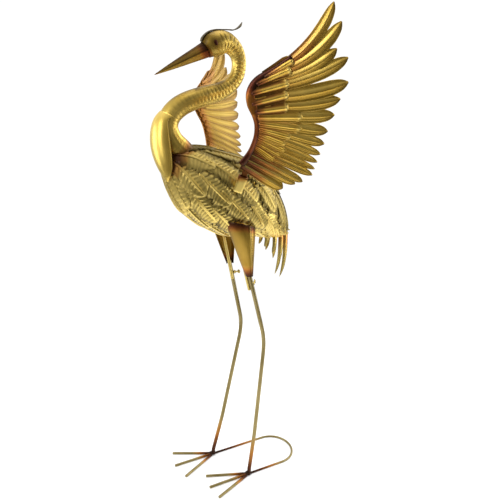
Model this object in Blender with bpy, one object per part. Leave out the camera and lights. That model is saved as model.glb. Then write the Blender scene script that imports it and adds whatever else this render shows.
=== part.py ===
"""Standing crane in gold sheet metal, about a metre tall, with both wings raised.

Metres, +Z up. The bird faces -X, its left side is at -Y, and it stands on the plane z = 0.
Run it with blender --background --python part.py, or from the text editor.
"""

import math

import bmesh
import bpy
from mathutils import Matrix, Vector

# Clearances and sheet
GAP = 0.0003
SHEET = 0.0015
SLIVER = 0.00002

# Stance
FOOT_SPREAD = 0.101
LEFT_FOOT_BACK = 0.047
TOE_ROD = 0.0060
TOE_LENGTH = 0.103
TOE_TAPER_SHARE = 0.93
TOE_TIP_SIZE = 0.55
TOE_SPLAY = {"left": math.radians(20.7), "right": math.radians(25.7)}
HEEL_WIRE = 0.0050
HEEL_REACH = 0.141
HEEL_STEPS = 10
LEG_ROD = 0.0090
ROD_SIDES = 8
SHIN_BOW = 0.0020
SHIN_BOW_SHARE = 0.30
KNEE_BEND_BELOW = 0.105
KNEE_BEND_ABOVE = 0.168
KNEE_BEND_STEPS = 4
KNEE_HEIGHT = 0.345
KNEE_BACK = {"left": 0.0815, "right": 0.0765}
THIGH_FOOT = 0.502
LEG_IN_THIGH = 0.008
HIP_HEIGHT = THIGH_FOOT + LEG_IN_THIGH
HIP_BACK = {"left": 0.0395, "right": 0.0405}
HIP_SPREAD = 0.094
PEG_ROD = 0.0070
PEG_BELOW_HIP = 0.042
PEG_AHEAD = math.radians(30)
PEG_SET_IN = 0.020
SCREW_BELOW_HIP = 0.029
SCREW_ROD = 0.0040
SCREW_LENGTH = 0.0150
SCREW_WING = (0.0095, 0.0065)
SCREW_BACK = math.radians(37)
NUT_SIZE = 0.0080
NUT_THICK = 0.0036

# Thigh, a half cone of sheet that is open towards the other leg
THIGH_TOP = 0.612
THIGH_TOP_BACK = 0.021
THIGH_TOP_LENGTH = 0.066
THIGH_TOP_DEPTH = 0.030
THIGH_FOOT_LENGTH = 0.0175
THIGH_RIM_SLOPE = 0.32
THIGH_SET_IN = 0.25
THIGH_RINGS = (0.0, 0.35, 0.7, 1.0)
THIGH_SIDES = 8

# Body: distance along the axis, then height above it, depth below it and half width
BODY_FRONT = Vector((-0.126, 0.0, 0.739))
BODY_PITCH = math.radians(29.4)
BODY_SECTIONS = (
    (0.000, 0.022, -0.008, 0.011),
    (0.012, 0.037, -0.020, 0.025),
    (0.035, 0.056, -0.040, 0.037),
    (0.070, 0.070, -0.061, 0.049),
    (0.110, 0.081, -0.070, 0.057),
    (0.150, 0.088, -0.072, 0.061),
    (0.190, 0.086, -0.068, 0.060),
    (0.225, 0.077, -0.057, 0.054),
    (0.255, 0.063, -0.043, 0.045),
    (0.285, 0.043, -0.032, 0.033),
    (0.308, 0.021, -0.022, 0.021),
    (0.324, 0.003, -0.013, 0.010),
)
BODY_SIDES = 12
BODY_CLEARANCE = 1.5 * GAP

# Feather plates pressed over the body
PLATE_LENGTH = 0.080
PLATE_WIDTH = 0.036
PLATE_PITCH = 0.0385
PLATE_ROWS = 5
PLATE_STEP = 0.0600
PLATE_START = 0.006
PLATE_HEADING = math.radians(21)
PLATE_ROOT = 0.0004
PLATE_RISE = 0.0036
PLATE_SPINE = 0.0016
PLATE_WIDEST = 0.6
PLATE_TURN_RADIUS = 0.020
PLATE_STOP_SHORT = 0.001
PLATE_SINK = 0.0030
PLATE_OUTLINE = ((0.0, 0.70), (0.50, 1.0), (1.0, 0.12))

# Neck and head: distance along -X to +X, height and radius of each station, from the beak down
NECK_KNOTS = (
    (-0.0340, 0.9455, 0.0160),
    (-0.0205, 0.9540, 0.0228),
    (0.0020, 0.9595, 0.0212),
    (0.0185, 0.9550, 0.0172),
    (0.0310, 0.9420, 0.0150),
    (0.0360, 0.9230, 0.0140),
    (0.0320, 0.9020, 0.0142),
    (0.0190, 0.8850, 0.0148),
    (-0.0040, 0.8720, 0.0168),
    (-0.0350, 0.8635, 0.0186),
    (-0.0660, 0.8545, 0.0194),
    (-0.0905, 0.8430, 0.0198),
    (-0.1080, 0.8260, 0.0198),
    (-0.1130, 0.8050, 0.0195),
    (-0.1050, 0.7830, 0.0208),
    (-0.0890, 0.7640, 0.0230),
    (-0.0680, 0.7430, 0.0225),
)
NECK_SIDES = 10
HEAD_FLATNESS = 0.80
NECK_FLATNESS = 0.95
HEAD_STATIONS = 4

BEAK_TIP = Vector((-0.136, 0.0, 0.899))
BEAK_DEPTH = 0.030
BEAK_WIDTH = 0.020
# Share of the way to the tip, then the size there
BEAK_SIZES = ((0.0, 1.0), (0.45, 0.60), (0.97, 0.05))

CREST_WIDTH = 0.0090
CREST_END_WIDTH = 0.65
CREST_TIP_TAPER = 0.75
CREST_CURL = ((0.013, -0.001), (0.023, -0.001), (0.0335, 0.004), (0.0385, 0.0135))

# Breast plate: front edge position, half width and depth of the trough, from the neck down
BREAST_STATIONS = (
    (-0.1405, 0.8200, 0.0225, 0.0215),
    (-0.1465, 0.8000, 0.0270, 0.0260),
    (-0.1480, 0.7780, 0.0290, 0.0285),
    (-0.1455, 0.7570, 0.0285, 0.0270),
    (-0.1400, 0.7370, 0.0240, 0.0220),
    (-0.1330, 0.7200, 0.0150, 0.0120),
    (-0.1270, 0.7085, 0.0040, 0.0025),
)
BREAST_ON_NECK = (21, 22, 23, 24)
BREAST_END_SWING = -0.021
BREAST_SIDES = 6

# Wing sheet, drawn in its own plane from the wrist: back along the chord, then up
WRIST = Vector((-0.006, -0.113, 0.864))
WING_FLARE = math.radians(30)
WING_LEAN = math.radians(15.8)
# How far the sheet stands out of that plane near its leading edge, by height
WING_BOW = (
    (-0.150, 0.0000),
    (-0.105, 0.0010),
    (-0.070, 0.0080),
    (-0.030, 0.0120),
    (0.000, 0.0070),
    (0.030, -0.0060),
    (0.070, -0.0110),
    (0.150, -0.0030),
)
WING_BOW_REACH = 0.130
WING_BOW_FADE = 1.5
RIGHT_WING_DROP = 0.0060
WING_BAND = (
    (-0.0090, -0.1280),
    (0.0085, -0.1040),
    (0.0195, -0.0750),
    (0.0215, -0.0500),
    (0.0165, -0.0300),
    (0.0080, -0.0120),
    (0.0070, 0.0070),
    (0.0190, 0.0235),
    (0.0452, 0.0388),
    (0.0745, 0.0595),
)
WING_BAND_WIDTH = 0.0180
BAND_END_WIDTH = 0.75
# Primary feathers from the leading tip down: angle above the chord and reach from the wrist
FEATHER_TIPS = (
    (47.0, 0.1975),
    (37.8, 0.1900),
    (27.2, 0.1635),
    (20.2, 0.1760),
    (7.1, 0.1715),
    (-2.5, 0.1600),
    (-12.8, 0.1565),
    (-24.1, 0.1575),
    (-32.1, 0.1650),
    (-38.7, 0.1720),
    (-43.4, 0.1790),
    (-47.2, 0.1860),
    (-50.4, 0.1930),
    (-57.0, 0.1940),
    (-61.2, 0.1910),
    (-68.7, 0.1900),
)
FEATHER_FIRST = 0.80
FEATHER_FILL = 0.48
ROOT_FILL = 0.14
LEADING_FILL = 0.62
FEATHER_OUTLINE = ((0.0, 0.45), (0.50, 0.85), (0.86, 0.80), (1.0, 0.0))
FEATHER_SAG = 0.0160
SAG_FADE = 1.6
FEATHER_CAMBER = 0.0036
FEATHER_HOLLOW = 0.6
FLUTE_FULL_FROM = 1.1
FEATHER_TILT = 0.0013
# Covert feathers over them: the same measures
COVERT_TIPS = (
    (37.5, 0.0960),
    (30.5, 0.0860),
    (16.0, 0.0750),
    (1.6, 0.0720),
    (-15.0, 0.0755),
    (-20.9, 0.1050),
    (-30.9, 0.1140),
    (-43.1, 0.1090),
    (-51.2, 0.1130),
    (-55.0, 0.1230),
    (-60.5, 0.1250),
    (-66.9, 0.1290),
)
COVERT_HALF = (0.0125, 0.0090)
COVERT_OUTLINE = ((0.0, 0.60), (0.70, 1.0), (1.0, 0.0))
COVERT_LIFT = 0.0018
COVERT_FIRST = 0.90
COVERT_SPREAD = 0.86

WING_TAB_WIDTH = 0.0110
WING_TAB_THICK = 0.0018
WING_TAB_FROM = (-0.0010, -0.1390)
WING_TAB_TO = (-0.0168, -0.1810)
BRACKET_LENGTH = 0.0260
BRACKET_WALL = 0.0020
BRACKET_PLAY = 0.0006
BRACKET_BELOW_TAB = 0.0040

# Tail: how far back, how far aside, height of the tip, and how far the end hooks forward
TAIL_STRIPS = (
    (0.101, 0.012, 0.550, 0.002),
    (0.120, 0.014, 0.533, 0.002),
    (0.137, 0.013, 0.511, 0.001),
    (0.1505, 0.010, 0.473, 0.005),
)
TAIL_WIDTH = 0.0110
TAIL_ROOT = 0.587
TAIL_OUTLINE = ((0.0, 1.0), (0.45, 1.0), (0.80, 0.75))

GOLD = (0.72, 0.53, 0.16)
CHAMPAGNE = (0.66, 0.57, 0.30)
COPPER_GOLD = (0.66, 0.42, 0.13)
DARK_GOLD = (0.36, 0.27, 0.10)
WELD_BROWN = (0.12, 0.07, 0.04)


def clear_scene():
    for obj in list(bpy.data.objects):
        bpy.data.objects.remove(obj, do_unlink=True)


def metal(name, color, roughness):
    material = bpy.data.materials.new(name)
    material.use_nodes = True
    shader = material.node_tree.nodes["Principled BSDF"]
    shader.inputs["Base Color"].default_value = (*color, 1.0)
    shader.inputs["Roughness"].default_value = roughness
    shader.inputs["Metallic"].default_value = 0.9
    return material


def add_object(name, bm, material, smooth_angle=40):
    """Turns a closed bmesh into a linked object with its faces turned outwards."""
    if bm.calc_volume(signed=True) < 0:
        bmesh.ops.reverse_faces(bm, faces=bm.faces)
    mesh = bpy.data.meshes.new(name)
    bm.to_mesh(mesh)
    bm.free()
    mesh.materials.append(material)
    mesh.shade_smooth()
    mesh.set_sharp_from_angle(angle=math.radians(smooth_angle))
    obj = bpy.data.objects.new(name, mesh)
    bpy.context.scene.collection.objects.link(obj)
    return obj


def boolean(obj, operation, others):
    """Applies one Boolean against one or more helper objects, and removes them."""
    helpers = bpy.data.collections.new("helpers")
    bpy.context.scene.collection.children.link(helpers)
    for other in others:
        bpy.context.scene.collection.objects.unlink(other)
        helpers.objects.link(other)
    modifier = obj.modifiers.new(operation.title(), "BOOLEAN")
    modifier.operation = operation
    modifier.solver = "EXACT"
    modifier.operand_type = "COLLECTION"
    modifier.collection = helpers
    bpy.context.view_layer.update()
    evaluated = obj.evaluated_get(bpy.context.evaluated_depsgraph_get())
    mesh = bpy.data.meshes.new_from_object(evaluated)
    bm = bmesh.new()
    bm.from_mesh(mesh)
    bmesh.ops.dissolve_degenerate(bm, edges=bm.edges, dist=SLIVER)
    bm.to_mesh(mesh)
    bm.free()
    obj.modifiers.clear()
    obj.data = mesh
    for other in others:
        bpy.data.objects.remove(other, do_unlink=True)
    bpy.data.collections.remove(helpers)
    return obj


def keep_outer_shell(obj):
    """Removes the small closed pockets that overlapping feathers leave inside their union."""
    bm = bmesh.new()
    bm.from_mesh(obj.data)
    unseen = set(bm.faces)
    shells = []
    while unseen:
        shell = [unseen.pop()]
        for face in shell:
            near = {other for edge in face.edges for other in edge.link_faces} & unseen
            unseen -= near
            shell.extend(near)
        shells.append(shell)
    shells.sort(key=len)
    pockets = [face for shell in shells[:-1] for face in shell]
    bmesh.ops.delete(bm, geom=pockets, context="FACES")
    bm.to_mesh(obj.data)
    bm.free()
    return obj


def seat_on(piece, cutter):
    """Cuts a piece back from its neighbour, so that it meets it with the clearance."""
    modifier = piece.modifiers.new("Seat", "BOOLEAN")
    modifier.operation = "DIFFERENCE"
    modifier.solver = "EXACT"
    modifier.object = cutter
    return piece


def spline(knots, steps):
    """Points on a smooth curve through the knots, with every coordinate carried along."""
    first = tuple(2 * a - b for a, b in zip(knots[0], knots[1]))
    last = tuple(2 * a - b for a, b in zip(knots[-1], knots[-2]))
    padded = [first, *knots, last]
    points = []
    for a, b, c, d in zip(padded, padded[1:], padded[2:], padded[3:]):
        for step in range(steps):
            t = step / steps
            points.append(
                tuple(
                    q + 0.5 * t * (r - p + t * (2 * p - 5 * q + 4 * r - s + t * (3 * (q - r) + s - p)))
                    for p, q, r, s in zip(a, b, c, d)
                )
            )
    points.append(tuple(knots[-1]))
    return points


def along(points, share):
    """The point at a share of a polyline's length."""
    spans = [(Vector(b) - Vector(a)).length for a, b in zip(points, points[1:])]
    left = share * sum(spans)
    for a, b, span in zip(points, points[1:], spans):
        if left <= span:
            return Vector(a).lerp(Vector(b), left / span)
        left -= span
    return Vector(points[-1])


def loft(bm, rings):
    """Skins rings of equal size into a closed body. A ring of one point makes a tip."""
    loops = [[bm.verts.new(point) for point in ring] for ring in rings]
    for low, high in zip(loops, loops[1:]):
        count = len(low)
        for i in range(count):
            j = (i + 1) % count
            if len(high) == 1:
                bm.faces.new((low[i], low[j], high[0]))
            else:
                bm.faces.new((low[i], low[j], high[j], high[i]))
    bm.faces.new(reversed(loops[0]))
    if len(loops[-1]) > 2:
        bm.faces.new(loops[-1])


def frames(path, side):
    """Tangent and two cross directions at each point of a path, the first one near `side`."""
    path = [Vector(point) for point in path]
    found = []
    for i, point in enumerate(path):
        tangent = (path[min(i + 1, len(path) - 1)] - path[max(i - 1, 0)]).normalized()
        across = (side - side.dot(tangent) * tangent).normalized()
        found.append((point, tangent, across, tangent.cross(across)))
    return found


def ellipse(centre, across, up, half_across, half_up, sides, turn=0.0):
    angles = [turn + math.tau * i / sides for i in range(sides)]
    return [centre + across * half_across * math.cos(a) + up * half_up * math.sin(a) for a in angles]


def rod(name, path, diameter, material, side=Vector((0, 0, 1)), sides=ROD_SIDES):
    """A round rod with a flat facet turned to the side direction."""
    radius = diameter / 2 / math.cos(math.pi / sides)
    turn = math.pi / sides
    rings = [
        ellipse(point, across, up, radius, radius, sides, turn)
        for point, _, across, up in frames(path, side)
    ]
    bm = bmesh.new()
    loft(bm, rings)
    return add_object(name, bm, material)


def neck_path():
    return spline(NECK_KNOTS, 2)


def neck_frames():
    stations = neck_path()
    path = [Vector((x, 0, z)) for x, z, _ in stations]
    return [(*frame, radius) for frame, (_, _, radius) in zip(frames(path, Vector((0, 1, 0))), stations)]


def make_head_and_neck(material):
    """One formed tube: a flattened head, then the neck's two bends, narrowest at the upper one."""
    bm = bmesh.new()
    rings = []
    for index, (point, _, across, up, radius) in enumerate(neck_frames()):
        blend = min(1.0, index / (2 * HEAD_STATIONS))
        flatness = HEAD_FLATNESS + (NECK_FLATNESS - HEAD_FLATNESS) * blend
        rings.append(ellipse(point, across, up, radius * flatness, radius, NECK_SIDES))
    loft(bm, rings)
    return add_object("head_and_neck", bm, material, 50)


def make_beak(material):
    """A straight four-sided spike with a ridge along its top and along each side."""
    start, tangent, across, up, _ = neck_frames()[0]
    base = start - tangent * GAP
    reach = BEAK_TIP - base
    rings = []
    for share, size in BEAK_SIZES:
        centre = base + reach * share
        half_across = BEAK_WIDTH / 2 * size
        half_up = BEAK_DEPTH / 2 * size
        rings.append(ellipse(centre, across, up, half_across, half_up, 4))
    rings.append([BEAK_TIP])
    bm = bmesh.new()
    loft(bm, rings)
    return add_object("beak", bm, material, 20)


def make_crest(material):
    """A narrow strip that follows the crown from the beak and curls up behind it."""
    path = []
    for point, _, _, up, radius in neck_frames()[: HEAD_STATIONS + 1]:
        outward = -up if up.z < 0 else up
        path.append(point + outward * (radius + GAP + SHEET / 2))
    end = path[-1]
    path += [end + Vector((back, 0, rise)) for back, rise in CREST_CURL]
    rings = []
    for i, (point, _, across, up) in enumerate(frames(path, Vector((0, 1, 0)))):
        share = i / (len(path) - 1)
        swell = CREST_END_WIDTH + (1 - CREST_END_WIDTH) * math.sin(math.pi * share)
        half = CREST_WIDTH / 2 * swell * (1 - CREST_TIP_TAPER * share**4)
        rings.append(ellipse(point, across, up, half * math.sqrt(2), SHEET / math.sqrt(2), 4, math.pi / 4))
    bm = bmesh.new()
    loft(bm, rings)
    return add_object("crest_plume", bm, material)


def trough(centre, across, front, half_width, depth, wall, sides):
    """A ring round the wall of an open trough, whose bottom faces `front`."""
    angles = [math.pi * i / sides for i in range(sides + 1)]
    outer = [centre + across * half_width * math.cos(a) + front * depth * math.sin(a) for a in angles]
    inner = [
        centre + across * (half_width - wall) * math.cos(a) + front * (depth - wall) * math.sin(a)
        for a in reversed(angles)
    ]
    return outer + inner


def make_breast_plate(material):
    """A trough of sheet that starts on the front of the neck and ends in a point on the chest."""
    across = Vector((0, 1, 0))
    rings = []
    for index in BREAST_ON_NECK:
        point, _, _, up, radius = neck_frames()[index]
        front = up if up.x < 0 else -up
        reach = (radius + GAP) / math.cos(math.pi / 2 / BREAST_SIDES) + SHEET
        rings.append(trough(point, across, front, reach, reach, SHEET, BREAST_SIDES))
    low = BREAST_STATIONS[-1][1]
    high = BREAST_STATIONS[0][1]
    for front_x, height, half_width, depth in BREAST_STATIONS:
        swing = BREAST_END_SWING * ((high - height) / (high - low)) ** 3
        centre = Vector((front_x + depth, swing, height))
        rings.append(
            trough(centre, across, Vector((-1, 0, 0)), half_width, depth, min(SHEET, depth / 2), BREAST_SIDES)
        )
    bm = bmesh.new()
    loft(bm, rings)
    return add_object("breast_plate", bm, material)


def body_axes():
    back = Vector((math.cos(BODY_PITCH), 0, -math.sin(BODY_PITCH)))
    up = Vector((math.sin(BODY_PITCH), 0, math.cos(BODY_PITCH)))
    return back, up


BODY_STATIONS = spline(BODY_SECTIONS, 1)


def body_section(distance):
    """Middle, half height and half width of the body at a distance along its axis."""
    distance = min(max(distance, 0.0), BODY_STATIONS[-1][0])
    for low, high in zip(BODY_STATIONS, BODY_STATIONS[1:]):
        if distance <= high[0]:
            share = (distance - low[0]) / (high[0] - low[0])
            _, top, bottom, half = (a + (b - a) * share for a, b in zip(low, high))
            return (top + bottom) / 2, (top - bottom) / 2, half
    return None


def body_point(distance, angle):
    """A point on the body's skin. The angle runs from the back down the left side."""
    back, up = body_axes()
    middle, half_height, half_width = body_section(distance)
    side = Vector((0, -1, 0))
    height = middle + half_height * math.cos(angle)
    return BODY_FRONT + back * distance + up * height + side * half_width * math.sin(angle)


def body_normal(distance, angle):
    step = 0.002
    along_body = body_point(distance + step, angle) - body_point(distance - step, angle)
    round_body = body_point(distance, angle + 0.03) - body_point(distance, angle - 0.03)
    normal = along_body.cross(round_body).normalized()
    outward = body_point(distance, angle) - body_point(distance, angle + math.pi)
    return normal if normal.dot(outward) > 0 else -normal


def body_radius(distance):
    _, half_height, half_width = body_section(distance)
    return math.sqrt((half_height**2 + half_width**2) / 2)


def make_plate(distance, angle, heading, material, margin):
    """One leaf-shaped plate that lies on the body, raised along its spine and at its tip."""
    rings = []
    for share, width in PLATE_OUTLINE:
        top = []
        low = []
        for side in (-1, 0, 1):
            run = share * (PLATE_LENGTH + 2 * margin) - margin
            offset = side * (width * PLATE_WIDTH / 2 + margin)
            forward = run * math.cos(heading) - offset * math.sin(heading)
            around = run * math.sin(heading) + offset * math.cos(heading)
            place = min(distance + forward, BODY_SECTIONS[-1][0] - PLATE_STOP_SHORT)
            turned = angle + around / max(body_radius(place), PLATE_TURN_RADIUS)
            skin = body_point(place, turned)
            normal = body_normal(place, turned)
            rise = PLATE_ROOT + (PLATE_RISE - PLATE_ROOT) * share + PLATE_SPINE * (1 - abs(side)) + margin
            top.append(skin + normal * rise)
            low.append(skin - normal * PLATE_SINK)
        rings.append([*top, low[2], low[0]])
    bm = bmesh.new()
    loft(bm, rings)
    bmesh.ops.triangulate(bm, faces=bm.faces, quad_method="FIXED")
    return add_object("plate", bm, material)


def make_body(name, material, margin=0.0):
    """The body's outer form with its rows of feather plates fused on, grown by a margin."""
    back, up = body_axes()
    rings = []
    for distance, top, bottom, half in BODY_STATIONS:
        centre = BODY_FRONT + back * distance + up * (top + bottom) / 2
        half_up = (top - bottom) / 2 + margin
        rings.append(ellipse(centre, up, Vector((0, -1, 0)), half_up, half + margin, BODY_SIDES))
    bm = bmesh.new()
    loft(bm, rings)
    bmesh.ops.triangulate(bm, faces=bm.faces, quad_method="FIXED")
    body = add_object(name, bm, material, 30)
    plates = []
    for row in range(PLATE_ROWS):
        start = PLATE_START + row * PLATE_STEP
        girth = math.tau * body_radius(start + PLATE_LENGTH * PLATE_WIDEST)
        count = 2 * round(girth / PLATE_PITCH / 2)
        for column in range(count):
            angle = math.tau * (column + 0.5 * (row % 2)) / count
            heading = PLATE_HEADING * math.sin(angle)
            plates.append(make_plate(start, angle, heading, material, margin))
    return boolean(body, "UNION", plates)


def wing_axes():
    chord = Vector((math.cos(WING_FLARE), -math.sin(WING_FLARE), 0))
    outward = Vector((-math.sin(WING_FLARE), -math.cos(WING_FLARE), 0))
    rise = Vector((0, 0, math.cos(WING_LEAN))) + outward * math.sin(WING_LEAN)
    return chord, rise, chord.cross(rise)


def wing_bow(back, up):
    """How far the wing sheet stands out of its plane at a place in it."""
    fade = min(1.0, max(0.0, 1 - back / WING_BOW_REACH)) ** WING_BOW_FADE
    for (low, low_out), (high, high_out) in zip(WING_BOW, WING_BOW[1:]):
        if low <= up <= high:
            return fade * (low_out + (high_out - low_out) * (up - low) / (high - low))
    return 0.0


def wing_point(back, up, out=0.0):
    """A place in the wing. Away from the bird counts as out."""
    chord, rise, normal = wing_axes()
    return WRIST + chord * back + rise * up + normal * (out + wing_bow(back, up))


def tip_place(angle, reach):
    return Vector((reach * math.cos(math.radians(angle)), reach * math.sin(math.radians(angle))))


def blade(name, path, halves, camber, lift, material):
    """A fluted feather, ridged along its middle, with one edge tucked under its neighbour."""
    rings = []
    for index, ((x, y), half) in enumerate(zip(path, halves)):
        before = Vector(path[max(index - 1, 0)])
        after = Vector(path[min(index + 1, len(path) - 1)])
        heading = (after - before).normalized()
        across = Vector((-heading.y, heading.x))
        if half == 0:
            rings.append([wing_point(x, y, lift)])
            continue
        swell = camber * min(1.0, half / max(halves) * FLUTE_FULL_FROM)
        ring = []
        tilt = FEATHER_TILT * half / max(halves)
        for side, out in ((-1, -tilt), (0, swell), (1, tilt), (0, -swell * FEATHER_HOLLOW)):
            spot = Vector((x, y)) + across * half * side
            ring.append(wing_point(spot.x, spot.y, lift + out))
        rings.append(ring)
    bm = bmesh.new()
    loft(bm, rings)
    return add_object(name, bm, material)


def feather(start, tip, half, sag, camber, lift, material, shares):
    """A feather from the leading band to its tip, bowed downwards by `sag` at its middle."""
    across = Vector((tip.y - start.y, start.x - tip.x)).normalized()
    middle = (start + tip) / 2 + across * sag * 2
    path = []
    halves = []
    for share, width in shares:
        here = start * (1 - share) ** 2 + middle * 2 * share * (1 - share) + tip * share**2
        path.append(tuple(here))
        halves.append(half * width)
    return blade("feather", path, halves, camber, lift, material)


def make_wing(material):
    """One stamped wing sheet: the band along its leading edge, primaries, coverts and the root tab."""
    band_path = spline(WING_BAND, 1)
    halves = []
    for index in range(len(band_path)):
        swell = math.sin(math.pi * index / (len(band_path) - 1))
        halves.append(WING_BAND_WIDTH / 2 * (BAND_END_WIDTH + (1 - BAND_END_WIDTH) * swell))
    wing = blade("wing_left", band_path, halves, FEATHER_CAMBER, 0.0, material)
    pieces = []
    tips = [tip_place(angle, reach) for angle, reach in FEATHER_TIPS]
    for index, tip in enumerate(tips):
        share = index / (len(tips) - 1)
        start = along(band_path, FEATHER_FIRST * (1 - share))
        spans = [(tip - other).length for other in tips[max(index - 1, 0) : index + 2] if other != tip]
        width = (FEATHER_FILL + ROOT_FILL * share) * (max(spans) if index else LEADING_FILL * min(spans))
        sag = FEATHER_SAG * max(0.0, 1 - share * SAG_FADE)
        pieces.append(feather(start, tip, width, sag, FEATHER_CAMBER, 0.0, material, FEATHER_OUTLINE))
    count = len(COVERT_TIPS)
    for index, (angle, reach) in enumerate(COVERT_TIPS):
        share = index / (count - 1)
        start = along(band_path, COVERT_FIRST - COVERT_SPREAD * share)
        width = COVERT_HALF[0] + (COVERT_HALF[1] - COVERT_HALF[0]) * share
        tip = tip_place(angle, reach)
        pieces.append(
            feather(start, tip, width, 0.0, FEATHER_CAMBER, COVERT_LIFT, material, COVERT_OUTLINE)
        )
    pieces.append(slab_in_wing("tab", WING_TAB_FROM, WING_TAB_TO, WING_TAB_WIDTH, WING_TAB_THICK, material))
    return keep_outer_shell(boolean(wing, "UNION", pieces))


def slab_in_wing(name, start, end, width, thick, material):
    """A flat bar in the wing's plane between two points of it."""
    start = Vector(start)
    end = Vector(end)
    heading = (end - start).normalized()
    across = Vector((-heading.y, heading.x)) * width / 2
    rings = []
    for spot in (start, end):
        corners = ((-1, -1), (1, -1), (1, 1), (-1, 1))
        rings.append(
            [wing_point(*(spot + across * side), out * thick / 2) for side, out in corners]
        )
    bm = bmesh.new()
    loft(bm, rings)
    return add_object(name, bm, material)


def make_bracket(material):
    """The flat socket on the flank that the wing's tab drops into."""
    end = Vector(WING_TAB_TO)
    heading = (end - Vector(WING_TAB_FROM)).normalized()
    low = end + heading * BRACKET_BELOW_TAB
    high = low - heading * BRACKET_LENGTH
    inner = WING_TAB_WIDTH + 2 * BRACKET_PLAY
    inner_thick = WING_TAB_THICK + 2 * BRACKET_PLAY
    outer = slab_in_wing(
        "wing_bracket_left", high, low, inner + 2 * BRACKET_WALL, inner_thick + 2 * BRACKET_WALL, material
    )
    past = heading * BRACKET_LENGTH / 2
    slot = slab_in_wing("slot", high - past, low + past, inner, inner_thick, material)
    return boolean(outer, "DIFFERENCE", [slot])


def mirrored(obj, name):
    """The same piece on the bird's right side, where the wing was welded on a little lower."""
    bm = bmesh.new()
    bm.from_mesh(obj.data)
    lower = Matrix.Translation((0, 0, -RIGHT_WING_DROP))
    bm.transform(lower @ Matrix.Scale(-1, 4, Vector((0, 1, 0))))
    return add_object(name, bm, obj.data.materials[0])


def foot_place(side):
    y = -FOOT_SPREAD / 2 if side == "left" else FOOT_SPREAD / 2
    return Vector((LEFT_FOOT_BACK if side == "left" else 0.0, y, 0.0))


def hip_place(side):
    y = -HIP_SPREAD / 2 if side == "left" else HIP_SPREAD / 2
    return Vector((HIP_BACK[side], y, HIP_HEIGHT))


def knee_place(side):
    foot = foot_place(side)
    hip = hip_place(side)
    return Vector((KNEE_BACK[side], (foot.y + hip.y) / 2, KNEE_HEIGHT))


def make_leg(side, material):
    """A rod from the toes up to the hip, bent gently back at the knee."""
    foot = foot_place(side)
    foot.z = TOE_ROD + GAP
    knee = knee_place(side)
    hip = hip_place(side)
    shin = foot.lerp(knee, SHIN_BOW_SHARE) + Vector((SHIN_BOW, 0, 0))
    path = [foot, foot + Vector((0, 0, LEG_ROD)), shin]
    below = foot.lerp(knee, 1 - KNEE_BEND_BELOW)
    above = knee.lerp(hip, KNEE_BEND_ABOVE)
    for step in range(KNEE_BEND_STEPS + 1):
        t = step / KNEE_BEND_STEPS
        path.append(below * (1 - t) ** 2 + knee * 2 * t * (1 - t) + above * t**2)
    path.append(hip)
    return rod("leg_" + side, path, LEG_ROD, material, Vector((0, 1, 0)))


def corner_radius(diameter):
    """From a rod's axis to the corners of its facets."""
    return diameter / 2 / math.cos(math.pi / ROD_SIDES)


def leg_clearance():
    """From a leg's axis to the nearest surface that may stand beside it."""
    return corner_radius(LEG_ROD) + GAP


def upper_leg_direction(side):
    return (hip_place(side) - knee_place(side)).normalized()


def make_peg(side, material, cutter):
    """The peg in the thigh's open side, welded to the body, that the leg rod stands against."""
    direction = upper_leg_direction(side)
    apart = leg_clearance() + corner_radius(PEG_ROD)
    inward = Vector((-math.sin(PEG_AHEAD), math.copysign(math.cos(PEG_AHEAD), -hip_place(side).y), 0))
    inward = (inward - inward.dot(direction) * direction).normalized()
    line = hip_place(side) + inward * apart
    low = line + direction * (HIP_HEIGHT - PEG_BELOW_HIP - line.z) / direction.z
    high = line + direction * (THIGH_TOP + PEG_SET_IN - line.z) / direction.z
    peg = rod("leg_peg_" + side, [high, low], PEG_ROD, material, Vector((0, 1, 0)))
    return seat_on(peg, cutter)


def make_screw(side, material):
    """The wing screw that clamps the leg rod, on its inner rear side."""
    hip = hip_place(side)
    direction = upper_leg_direction(side)
    centre = hip - direction * SCREW_BELOW_HIP / direction.z
    inward = math.copysign(1, -hip.y)
    away = Vector((math.cos(SCREW_BACK), math.sin(SCREW_BACK) * inward, 0))
    away = (away - away.dot(direction) * direction).normalized()
    start = centre + away * leg_clearance()
    head = start + away * (SCREW_LENGTH - SCREW_WING[1] / 2)
    screw = rod("leg_screw_" + side, [start + away * NUT_THICK / 2, head], SCREW_ROD, material, direction)
    nut = rod("nut", [start, start + away * NUT_THICK], NUT_SIZE, material, direction, 6)
    cross = away.cross(direction).normalized()
    long_half, short_half = (size / 2 for size in SCREW_WING)
    faces = (head - cross * SHEET / 2, head + cross * SHEET / 2)
    rings = [ellipse(face, direction, away, long_half, short_half, ROD_SIDES) for face in faces]
    bm = bmesh.new()
    loft(bm, rings)
    wing = add_object("screw_wing", bm, material)
    return boolean(screw, "UNION", [nut, wing])


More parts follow.
